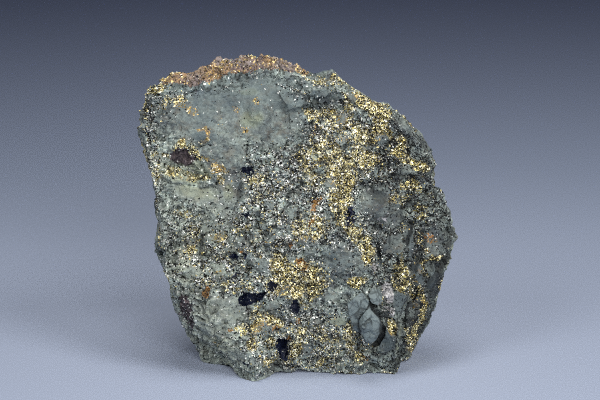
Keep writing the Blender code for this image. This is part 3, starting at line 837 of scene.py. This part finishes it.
def broken_rock_group():
    """Mottled rock: its colour and the height of its fine grain."""
    group, given, result = new_group(
        "broken_rock",
        [
            ("Place", "NodeSocketVector", None),
            ("Dark", "NodeSocketColor", (0.1, 0.1, 0.1, 1.0)),
            ("Main", "NodeSocketColor", (0.2, 0.2, 0.2, 1.0)),
            ("Pale", "NodeSocketColor", (0.3, 0.3, 0.3, 1.0)),
        ],
        [("Color", "NodeSocketColor"), ("Height", "NodeSocketFloat")],
    )
    place = given.outputs["Place"]
    wide = noise_value(group, place, 11.0, 3.0, 0.55)
    small = noise_value(group, place, 2.6, 4.0, 0.7)
    fine = noise_value(group, place, 0.7, 3.0, 0.7)
    mix = maths(group, "ADD", maths(group, "MULTIPLY", wide, 0.5), maths(group, "MULTIPLY", small, 0.5))
    colour = blend(group, ranged(group, mix, 0.40, 0.50), given.outputs["Dark"], given.outputs["Main"])
    colour = blend(group, ranged(group, mix, 0.51, 0.60), colour, given.outputs["Pale"])
    tone = ranged(group, fine, 0.34, 0.66, 0.60, 1.40)
    tinted = add(group, "ShaderNodeCombineColor", {0: tone, 1: tone, 2: tone}).outputs[0]
    colour = blend(group, 1.0, colour, tinted, "MULTIPLY")
    height = maths(group, "ADD", maths(group, "MULTIPLY", small, 0.7), maths(group, "MULTIPLY", fine, 0.3))
    group.links.new(colour, result.inputs["Color"])
    group.links.new(height, result.inputs["Height"])
    return group


def placed_group(tree, group, inputs):
    node = tree.nodes.new("ShaderNodeGroup")
    node.node_tree = group
    for socket, value in inputs.items():
        if isinstance(value, bpy.types.NodeSocket):
            tree.links.new(value, node.inputs[socket])
        else:
            node.inputs[socket].default_value = value
    return node


def new_material(name):
    material = bpy.data.materials.new(name)
    material.use_nodes = True
    tree = material.node_tree
    return material, tree, tree.nodes["Principled BSDF"]


def object_place(tree):
    """Object coordinates in millimetres."""
    node = add(tree, "ShaderNodeVectorMath", {0: add(tree, "ShaderNodeTexCoord").outputs["Object"]}, operation="SCALE")
    node.inputs["Scale"].default_value = 1000.0
    return node.outputs[0]


def rock_material(settings, cells, rock):
    material, tree, shader = new_material("broken_ore")
    place = object_place(tree)
    calm, gold, salt = attribute(tree, "calm"), attribute(tree, "gold"), attribute(tree, "salt")
    pit, crust = attribute(tree, "pit"), attribute(tree, "crust")

    def picked(shift, size, share):
        return placed_group(tree, cells, {"Place": vectors(tree, "ADD", place, shift), "Size": size, "Share": share})

    def share_of(value, most, least=0.0):
        return maths(tree, "ADD", maths(tree, "MULTIPLY", value, most), least)

    fray = noise_value(tree, place, 1.2, 2.0, 0.6)
    fray = maths(tree, "ADD", fray, maths(tree, "MULTIPLY", noise_value(tree, place, 0.5, 1.0, 0.5), 0.4))
    fray = maths(tree, "MULTIPLY", maths(tree, "SUBTRACT", fray, 0.72), 2.2)

    def frayed(value):
        """The value with its soft rim turned into a ragged edge."""
        return ranged(tree, maths(tree, "ADD", value, fray), 0.44, 0.56)

    base = placed_group(tree, rock, {
        "Place": place, "Dark": rgba(settings.blue_grey), "Main": rgba(settings.grey_green), "Pale": rgba(settings.pale),
    })
    colour = blend(tree, share_of(calm, 0.45), base.outputs["Color"], (0.074, 0.083, 0.078, 1.0))
    smudge = ranged(tree, noise_value(tree, vectors(tree, "ADD", place, (1.0, 6.0, 2.0)), 3.2, 4.0, 0.65), 0.50, 0.62)
    colour = blend(tree, maths(tree, "MULTIPLY", smudge, share_of(calm, 0.4)), colour, (0.15, 0.115, 0.075, 1.0))
    colour = blend(tree, share_of(attribute(tree, "olive"), 0.6), colour, (0.30, 0.33, 0.20, 1.0))
    colour = blend(tree, share_of(attribute(tree, "teal"), 0.7), colour, (0.088, 0.120, 0.134, 1.0))
    colour = blend(tree, share_of(attribute(tree, "bright"), 0.5), colour, (0.42, 0.46, 0.39, 1.0))
    shell, right_shade_and_dark_rock = attribute(tree, "shell"), attribute(tree, "right_shade_and_dark_rock")
    # The right of the front darkened: painted shade, and darker rock
    colour = blend(tree, share_of(right_shade_and_dark_rock, 0.34), colour, (0.045, 0.050, 0.055, 1.0))
    colour = blend(tree, share_of(shell, 0.85), colour, (0.165, 0.205, 0.212, 1.0))

    crumb = picked((31.0, 7.0, 3.0), 0.6, 0.5)
    reddish = ranged(tree, noise_value(tree, place, 9.0, 2.0, 0.5), 0.40, 0.60)
    crust_colour = blend(tree, reddish, (0.21, 0.155, 0.178, 1.0), (0.42, 0.235, 0.09, 1.0))
    crust_colour = blend(tree, share_of(crumb.outputs["Tone"], 0.45), crust_colour, (0.33, 0.28, 0.26, 1.0))
    crust_colour = blend(tree, picked((4.0, 2.0, 9.0), 0.5, 0.30).outputs["Mask"], crust_colour, (0.085, 0.055, 0.055, 1.0))
    colour = blend(tree, share_of(frayed(crust), 0.85), colour, crust_colour)
    rust_colour = blend(tree, crumb.outputs["Tone"], (0.56, 0.30, 0.07, 1.0), (0.33, 0.14, 0.05, 1.0))
    colour = blend(tree, share_of(frayed(attribute(tree, "rust")), 0.9), colour, rust_colour)
    purple = frayed(attribute(tree, "purple"))
    purple_colour = blend(tree, crumb.outputs["Tone"], (0.034, 0.029, 0.036, 1.0), (0.14, 0.112, 0.120, 1.0))
    colour = blend(tree, purple, colour, purple_colour)

    stained = ranged(tree, noise_value(tree, vectors(tree, "ADD", place, (3.0, 9.0, 4.0)), 1.8, 2.0, 0.6), 0.48, 0.58)
    stained = maths(tree, "MULTIPLY", stained, maths(tree, "SUBTRACT", 1.0, calm))
    stained = maths(tree, "MULTIPLY", stained, maths(tree, "ADD", share_of(salt, 0.35, 0.1), gold, True))
    colour = blend(tree, share_of(stained, 0.8), colour, (0.135, 0.080, 0.032, 1.0))
    massed = ranged(tree, noise_value(tree, vectors(tree, "ADD", place, (6.0, 2.0, 8.0)), 3.4, 3.0, 0.6), 0.44, 0.54)
    massed = maths(tree, "MULTIPLY", massed, ranged(tree, gold, 0.1, 0.6))
    colour = blend(tree, share_of(massed, 0.75), colour, blend(tree, calm, (0.44, 0.37, 0.16, 1.0), (0.24, 0.15, 0.07, 1.0)))

    clumps = ranged(tree, noise_value(tree, place, 2.3, 3.0, 0.6), 0.40, 0.54)
    quiet = maths(tree, "MULTIPLY", maths(tree, "SUBTRACT", 1.0, share_of(calm, 0.88)), maths(tree, "SUBTRACT", 1.0, shell))
    quiet = maths(tree, "MULTIPLY", quiet, maths(tree, "SUBTRACT", 1.0, share_of(crust, 0.8)))
    grainy = maths(tree, "MULTIPLY", quiet, clumps)
    pale = maths(tree, "MULTIPLY", salt, grainy)
    golden = maths(tree, "MULTIPLY", gold, maths(tree, "SUBTRACT", 1.0, shell))
    rich = maths(tree, "MULTIPLY", golden, quiet)
    loud = maths(tree, "MAXIMUM", share_of(pale, 0.8), rich)
    # Black specks: dark minerals, and painted shadow in the gaps between grains; more of them towards the right as
    # painted shade
    black = picked((5.0, 17.0, 1.0), 0.68, share_of(loud, 0.85))
    dusky = maths(tree, "MULTIPLY", quiet, share_of(right_shade_and_dark_rock, 0.22, 0.05))
    small_black = picked((15.0, 7.0, 11.0), 0.46, maths(tree, "ADD", share_of(loud, 0.30), dusky))
    # White specks: pale grains, and painted glints
    lit = maths(tree, "MULTIPLY", maths(tree, "ADD", share_of(pale, 0.34), share_of(quiet, 0.03)), share_of(right_shade_and_dark_rock, -0.7, 1.0))
    white = picked((2.0, 3.0, 41.0), 0.46, lit)
    blacks = maths(tree, "MAXIMUM", black.outputs["Mask"], small_black.outputs["Mask"])
    colour = blend(tree, share_of(blacks, 0.97), colour, (0.005, 0.005, 0.006, 1.0))
    colour = blend(tree, share_of(white.outputs["Mask"], 0.9), colour, (0.86, 0.87, 0.82, 1.0))
    quartz_colour = blend(tree, ranged(tree, noise_value(tree, place, 0.8), 0.35, 0.65), (0.32, 0.31, 0.31, 1.0), (0.68, 0.67, 0.67, 1.0))
    colour = blend(tree, frayed(attribute(tree, "quartz")), colour, quartz_colour)
    # Painted shade in the crevices, the joints and on the right rim, and dark rock in some crevices
    colour = blend(tree, share_of(attribute(tree, "shade_and_dark_rock"), 0.94), colour, (0.018, 0.020, 0.022, 1.0))
    pit = frayed(pit)
    colour = blend(tree, pit, colour, (0.007, 0.010, 0.026, 1.0))

    big = picked((0.0, 0.0, 0.0), 0.66, share_of(golden, 0.50))
    little = picked((13.0, 1.0, 29.0), 0.44, maths(tree, "ADD", share_of(golden, 0.26), share_of(pale, 0.05)))
    brass = maths(tree, "MAXIMUM", big.outputs["Mask"], little.outputs["Mask"])
    tone = blend(tree, ranged(tree, big.outputs["Tone"], 0.35, 0.75), rgba(settings.brass), rgba(settings.brass_shade))
    # Duller brass towards the right: painted shade, and darker rock
    tone = blend(tree, share_of(right_shade_and_dark_rock, 0.6), tone, (0.34, 0.28, 0.07, 1.0))
    tone = blend(tree, share_of(calm, 0.7), tone, (0.42, 0.25, 0.08, 1.0))
    tone = blend(tree, share_of(crust, 0.6), tone, (0.62, 0.40, 0.15, 1.0))
    colour = blend(tree, brass, colour, tone)
    glint = picked((3.0, 21.0, 9.0), 0.46, share_of(rich, 0.24)).outputs["Mask"]
    colour = blend(tree, glint, colour, (0.98, 0.93, 0.70, 1.0))
    brass = maths(tree, "MULTIPLY", brass, maths(tree, "SUBTRACT", 1.0, glint))
    # Painted shade and highlight of fine relief: noise darkens and brightens the colour, most in the speckled and
    # brassy parts
    painted_relief_light = ranged(tree, noise_value(tree, vectors(tree, "ADD", place, (7.0, 3.0, 5.0)), 0.75, 2.0, 0.6), 0.43, 0.57, 0.0, 1.95)
    painted_relief_light = add(tree, "ShaderNodeCombineColor", {0: painted_relief_light, 1: painted_relief_light, 2: painted_relief_light}).outputs[0]
    colour = blend(tree, maths(tree, "ADD", share_of(loud, 0.88), share_of(quiet, 0.10)), colour, painted_relief_light, "MULTIPLY")
    patch = ranged(tree, noise_value(tree, vectors(tree, "ADD", place, (2.0, 5.0, 1.0)), 5.0, 2.0, 0.6), 0.38, 0.60, 0.62, 1.22)
    patch = add(tree, "ShaderNodeCombineColor", {0: patch, 1: patch, 2: patch}).outputs[0]
    colour = blend(tree, share_of(quiet, 1.0), colour, patch, "MULTIPLY")
    tree.links.new(colour, shader.inputs["Base Color"])
    shader.inputs["Specular IOR Level"].default_value = 0.2
    tree.links.new(share_of(brass, 0.6), shader.inputs["Metallic"])

    roughness = between(tree, brass, between(tree, white.outputs["Mask"], 0.70, 0.35), 0.38)
    tree.links.new(between(tree, pit, roughness, 0.28), shader.inputs["Roughness"])

    bump = add(tree, "ShaderNodeBump", {"Strength": 0.8, "Distance": 0.7 * MM, "Height": base.outputs["Height"]})
    lean = add(tree, "ShaderNodeMix", {0: brass, 4: black.outputs["Tilt"], 5: big.outputs["Tilt"]}, data_type="VECTOR")
    lean = add(tree, "ShaderNodeVectorMath", {0: lean.outputs[1]}, operation="SCALE")
    tree.links.new(between(tree, brass, between(tree, calm, 0.55, 0.1), 0.9), lean.inputs["Scale"])
    tilted = vectors(tree, "NORMALIZE", vectors(tree, "ADD", bump.outputs[0], lean.outputs[0]))
    tree.links.new(tilted, shader.inputs["Normal"])
    return material


def grain_material(name, first, second, metallic, roughness):
    """Grains that each have their own tone between two colours."""
    material, tree, shader = new_material(name)
    tone = attribute(tree, "tone")
    mottle = noise_value(tree, object_place(tree), 0.7, 2.0, 0.6)
    share = maths(tree, "ADD", maths(tree, "MULTIPLY", tone, 0.8), maths(tree, "MULTIPLY", mottle, 0.2))
    tree.links.new(blend(tree, share, first, second), shader.inputs["Base Color"])
    tree.links.new(ranged(tree, tone, 0.0, 1.0, *roughness), shader.inputs["Roughness"])
    shader.inputs["Metallic"].default_value = metallic
    return material


# Grains


def grain_shapes(name, half_width):
    """Three angular grains in a collection, for scattering: their sides, the narrower end, and their lean."""
    collection = bpy.data.collections.new(name + "_shapes")
    bpy.context.scene.collection.children.link(collection)
    for number, (sides, narrow, lean) in enumerate(((4, 0.55, 0.3), (3, 0.3, -0.35), (4, 0.0, 0.15))):
        bm = bmesh.new()
        bmesh.ops.create_cone(
            bm, cap_ends=True, segments=sides, radius1=half_width, radius2=narrow * half_width, depth=1.4 * half_width
        )
        top = [v for v in bm.verts if v.co.z > 0.0]
        bmesh.ops.translate(bm, verts=top, vec=(lean * half_width, 0.2 * half_width, 0.0))
        bmesh.ops.remove_doubles(bm, verts=bm.verts, dist=0.001 * half_width)
        mesh = bpy.data.meshes.new(f"{name}_{number}")
        bm.to_mesh(mesh)
        bm.free()
        collection.objects.link(bpy.data.objects.new(f"{name}_{number}", mesh))
    return collection


def scatter_tree(name, shapes, gap, density, seed, smallest, largest):
    """Geometry nodes that scatter the shapes over a mesh as thickly as the attribute of this name says."""
    tree = bpy.data.node_groups.new(name, "GeometryNodeTree")
    tree.interface.new_socket(name="Geometry", in_out="INPUT", socket_type="NodeSocketGeometry")
    tree.interface.new_socket(name="Geometry", in_out="OUTPUT", socket_type="NodeSocketGeometry")
    given, result = tree.nodes.new("NodeGroupInput"), tree.nodes.new("NodeGroupOutput")
    share = add(tree, "GeometryNodeInputNamedAttribute", {"Name": name}, data_type="FLOAT")
    points = add(tree, "GeometryNodeDistributePointsOnFaces", {
        "Mesh": given.outputs[0], "Distance Min": gap, "Density Max": density, "Density Factor": share.outputs[0],
        "Seed": seed,
    }, distribute_method="POISSON")
    sunk = add(tree, "ShaderNodeVectorMath", {0: points.outputs["Normal"]}, operation="SCALE")
    sunk.inputs["Scale"].default_value = -0.4 * gap
    placed = add(tree, "GeometryNodeSetPosition", {"Geometry": points.outputs["Points"], "Offset": sunk.outputs[0]})
    shape = add(tree, "GeometryNodeCollectionInfo", {
        "Collection": shapes, "Separate Children": True, "Reset Children": True,
    })

    def random_value(low, high, offset, kind="FLOAT_VECTOR"):
        low, high = ((low,) * 3, (high,) * 3) if kind == "FLOAT_VECTOR" else (low, high)
        return add(tree, "FunctionNodeRandomValue", {
            ("Min" if kind == "FLOAT_VECTOR" else 2): low, ("Max" if kind == "FLOAT_VECTOR" else 3): high,
            "Seed": seed + offset,
        }, data_type=kind)

    grains = add(tree, "GeometryNodeInstanceOnPoints", {
        "Points": placed.outputs[0], "Instance": shape.outputs[0], "Pick Instance": True,
        "Rotation": random_value(0.0, math.tau, 1).outputs[0],
        "Scale": random_value(smallest, largest, 2).outputs[0],
    })
    toned = add(tree, "GeometryNodeStoreNamedAttribute", {
        "Geometry": grains.outputs[0], "Name": "tone", "Value": random_value(0.0, 1.0, 3, "FLOAT").outputs[1],
    }, data_type="FLOAT", domain="INSTANCE")
    real = add(tree, "GeometryNodeRealizeInstances", {"Geometry": toned.outputs[0]})
    tree.links.new(real.outputs[0], result.inputs[0])
    return tree


def scattered(name, rock, half_width, gap, density, seed, smallest=0.6, largest=1.4):
    """A piece of grains scattered over the rock."""
    shapes = grain_shapes(name, half_width)
    carrier = object_of(rock.data.copy(), name + "_carrier")
    modifier = carrier.modifiers.new("scatter", "NODES")
    modifier.node_group = scatter_tree(name, shapes, gap, density, seed, smallest, largest)
    mesh = evaluated_mesh(carrier)
    bpy.data.objects.remove(carrier)
    for shape in list(shapes.objects):
        bpy.data.objects.remove(shape)
    bpy.data.collections.remove(shapes)
    mesh.materials.clear()
    mesh.name = name
    return object_of(mesh, name)


def store_densities(mesh):
    """The attributes that say how thickly each kind of grain lies."""
    surface = Surface(mesh)
    values = {}
    for name in ("gold", "salt", "calm", "pit", "shade_and_dark_rock", "shell", "crust", "right_shade_and_dark_rock"):
        numbers = np.empty(len(mesh.vertices), np.float32)
        mesh.attributes[name].data.foreach_get("value", numbers)
        values[name] = numbers
    gold, salt = values["gold"], values["salt"]
    clear = eased((surface.places[:, 2] - 1.2) / 1.0) * (0.55 + 0.45 * surface.front) * (1.0 - values["shell"])
    rough = clear * (1.0 - 0.92 * values["calm"]) * (1.0 - 0.9 * values["shade_and_dark_rock"])
    open_rock = rough * (1.0 - values["pit"]) * (1.0 - 0.8 * values["crust"])
    mesh_with(mesh, {
        "brass_grains": clear * (1.0 - 0.7 * values["shade_and_dark_rock"]) * np.clip((gold - 0.12) / 0.88, 0.0, 1.0) + 0.04 * salt * rough,
        # Dark grains: dark sulphide, and painted shade between brass grains and towards the right
        "dark_grains": open_rock * np.clip(0.4 * salt + 0.6 * gold + 0.25 * values["right_shade_and_dark_rock"], 0.0, 1.0),
        "pale_grains": open_rock * (1.0 - values["calm"]) * (1.0 - 0.6 * values["right_shade_and_dark_rock"]) * 0.5 * salt,
    })


# Operators


def finished(obj, material):
    obj.data.materials.clear()
    obj.data.materials.append(material)
    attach(obj, "root")


class ORE_OT_rock(Operator):
    """Make the broken rock in place of the CAD block"""

    bl_idname = "ore.rock"
    bl_label = "Broken rock"

    def execute(self, context):
        settings = context.scene.ore_rock
        rock = object_of(rock_mesh(settings), "rock")
        finished(rock, rock_material(settings, grain_cells_group(), broken_rock_group()))
        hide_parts(CAD_NODE)
        store_densities(rock.data)
        return {"FINISHED"}


class ORE_OT_brass_grains(Operator):
    """Scatter the brassy chalcopyrite grains"""

    bl_idname = "ore.brass_grains"
    bl_label = "Brass grains"

    def execute(self, context):
        settings = context.scene.ore_grains
        rock = bpy.data.objects["rock"]
        grains = scattered("brass_grains", rock, settings.brass_size, settings.brass_gap, 4.0e6, settings.seed)
        colours = rgba(settings.brass), rgba(settings.brass_shade)
        finished(grains, grain_material("chalcopyrite", *colours, 0.8, (0.28, 0.5)))
        return {"FINISHED"}


class ORE_OT_dark_grains(Operator):
    """Scatter the dark grains: dark sulphide, and painted shade between the brass grains"""

    bl_idname = "ore.dark_grains"
    bl_label = "Dark grains"

    def execute(self, context):
        settings = context.scene.ore_grains
        rock = bpy.data.objects["rock"]
        grains = scattered("dark_grains", rock, settings.dark_size, 0.5 * MM, 2.4e6, settings.seed + 20)
        colours = (0.004, 0.004, 0.006, 1.0), (0.040, 0.032, 0.022, 1.0)
        finished(grains, grain_material("dark_sulphide_and_gap_shade", *colours, 0.0, (0.25, 0.5)))
        return {"FINISHED"}


class ORE_OT_pale_grains(Operator):
    """Scatter the pale quartz grains"""

    bl_idname = "ore.pale_grains"
    bl_label = "Pale grains"

    def execute(self, context):
        settings = context.scene.ore_grains
        rock = bpy.data.objects["rock"]
        grains = scattered("pale_grains", rock, settings.pale_size, 0.5 * MM, 1.3e6, settings.seed + 40)
        colours = (0.22, 0.25, 0.23, 1.0), (0.70, 0.71, 0.66, 1.0)
        finished(grains, grain_material("quartz_grains", *colours, 0.0, (0.25, 0.5)))
        return {"FINISHED"}


def aimed(obj, target):
    obj.rotation_mode = "QUATERNION"
    obj.rotation_quaternion = (Vector(target) - obj.location).to_track_quat("-Z", "Y")


def soft_light(name, place, size, power, target, colour=(1.0, 1.0, 1.0)):
    light = bpy.data.lights.new(name, "AREA")
    light.shape = "DISK"
    light.size = size
    light.energy = power
    light.color = colour
    obj = bpy.data.objects.new(name, light)
    bpy.context.scene.collection.objects.link(obj)
    obj.location = place
    aimed(obj, target)
    return obj


def floor_material(settings):
    material, tree, shader = new_material("pale_floor")
    place = object_place(tree)
    grain = noise_value(tree, place, 1.2, 2.0, 0.5)
    away = add(tree, "ShaderNodeVectorMath", {0: place}, operation="LENGTH").outputs["Value"]
    # The floor darkens with distance from the block: painted falloff of the light
    colour = blend(tree, ranged(tree, away, 60.0, 320.0), rgba(settings.floor), rgba(settings.floor_middle))
    colour = blend(tree, ranged(tree, away, 320.0, 950.0), colour, rgba(settings.floor_far))
    colour = blend(tree, ranged(tree, grain, 0.3, 0.7, 0.0, 0.04), colour, (0.0, 0.0, 0.0, 1.0))
    tree.links.new(colour, shader.inputs["Base Color"])
    shader.inputs["Roughness"].default_value = 0.65
    shader.inputs["Specular IOR Level"].default_value = 0.25
    return material


def studio_floor(settings):
    """A round floor that sweeps up into a wall far from the block."""
    bm = bmesh.new()
    flat, radius, bend = 1.8, 0.7, 10
    points = [Vector((0.0, 0.0, 0.0)), Vector((flat, 0.0, 0.0))]
    for n in range(1, bend + 1):
        angle = 0.5 * math.pi * n / bend
        points.append(Vector((flat + radius * math.sin(angle), 0.0, radius * (1.0 - math.cos(angle)))))
    points.append(Vector((flat + radius, 0.0, 2.4)))
    verts = [bm.verts.new(p) for p in points]
    edges = [bm.edges.new(pair) for pair in zip(verts, verts[1:], strict=False)]
    bmesh.ops.spin(
        bm, geom=[*verts, *edges], cent=(0.0, 0.0, 0.0), axis=(0.0, 0.0, 1.0), angle=math.tau, steps=64, use_merge=True
    )
    bmesh.ops.remove_doubles(bm, verts=bm.verts, dist=0.01 * MM)
    bmesh.ops.recalc_face_normals(bm, faces=bm.faces)
    mesh = bpy.data.meshes.new("studio_floor")
    bm.to_mesh(mesh)
    bm.free()
    mesh.shade_smooth()
    obj = object_of(mesh, "studio_floor")
    mesh.materials.append(floor_material(settings))


def studio_camera(settings):
    camera = bpy.data.cameras.new("camera")
    camera.lens = settings.lens
    camera.sensor_width = 36.0
    obj = bpy.data.objects.new("camera", camera)
    bpy.context.scene.collection.objects.link(obj)
    target = Vector((0.0002, 0.0, 0.0617))
    back = Vector((0.0, -math.cos(settings.elevation), math.sin(settings.elevation)))
    obj.location = target + back * settings.distance
    aimed(obj, target)
    bpy.context.scene.camera = obj


class ORE_OT_stage(Operator):
    """Make the floor, the lights and the camera"""

    bl_idname = "ore.stage"
    bl_label = "Studio"

    def execute(self, context):
        settings = context.scene.ore_stage
        studio_floor(settings)
        middle = (0.0, 0.0, 0.05)
        soft_light("right_light", (0.42, -0.40, 0.62), 0.30, settings.right_power, middle, (1.0, 0.99, 0.97))
        soft_light("left_light", (-0.46, -0.42, 0.58), 0.30, settings.left_power, middle, (1.0, 0.99, 0.97))
        soft_light("front_light", (0.22, -0.78, 0.36), 0.40, settings.front_power, middle, (1.0, 0.99, 0.97))
        soft_light("top_light", (0.0, -0.12, 0.78), 0.40, settings.top_power, (0.0, -0.06, 0.0), (1.0, 0.99, 0.98))
        behind = soft_light("back_light", (-0.30, 0.74, 0.62), 0.40, settings.back_power, middle, (1.0, 0.99, 0.97))
        specimen = bpy.data.collections.new("specimen")
        for name in ("rock", "brass_grains", "dark_grains", "pale_grains"):
            specimen.objects.link(bpy.data.objects[name])
        behind.light_linking.receiver_collection = specimen
        world = bpy.data.worlds.new("studio")
        world.use_nodes = True
        background = world.node_tree.nodes["Background"]
        background.inputs["Color"].default_value = (0.55, 0.65, 0.85, 1.0)
        background.inputs["Strength"].default_value = 0.02
        context.scene.world = world
        context.scene.view_settings.view_transform = "Standard"
        context.scene.cycles.filter_width = 1.0
        context.scene.cycles.use_denoising = False
        studio_camera(settings)
        return {"FINISHED"}


class ORE_PT_specimen(Panel):
    """The specimen's pieces and their settings"""

    bl_idname = "ORE_PT_specimen"
    bl_label = "Chalcopyrite Specimen"
    bl_space_type = "VIEW_3D"
    bl_region_type = "UI"
    bl_category = "Specimen"

    def draw(self, context):
        for operator in OPERATORS:
            self.layout.operator(operator.bl_idname)
        for settings in (context.scene.ore_rock, context.scene.ore_grains, context.scene.ore_stage):
            box = self.layout.box()
            for name in settings.bl_rna.properties.keys():
                if name not in {"rna_type", "name"}:
                    box.prop(settings, name)


OPERATORS = (ORE_OT_rock, ORE_OT_brass_grains, ORE_OT_dark_grains, ORE_OT_pale_grains, ORE_OT_stage)
CLASSES = (RockSettings, GrainSettings, StageSettings, *OPERATORS, ORE_PT_specimen)


def register():
    for cls in CLASSES:
        bpy.utils.register_class(cls)
    bpy.types.Scene.ore_rock = PointerProperty(type=RockSettings)
    bpy.types.Scene.ore_grains = PointerProperty(type=GrainSettings)
    bpy.types.Scene.ore_stage = PointerProperty(type=StageSettings)


def unregister():
    del bpy.types.Scene.ore_rock
    del bpy.types.Scene.ore_grains
    del bpy.types.Scene.ore_stage
    for cls in reversed(CLASSES):
        bpy.utils.unregister_class(cls)


def plain(box):
    return [[float(number) for number in corner] for corner in box]


def main():
    register()
    bpy.ops.ore.rock()
    bpy.ops.ore.brass_grains()
    bpy.ops.ore.dark_grains()
    bpy.ops.ore.pale_grains()
    bpy.ops.ore.stage()


if __name__ == "__main__":
    main()
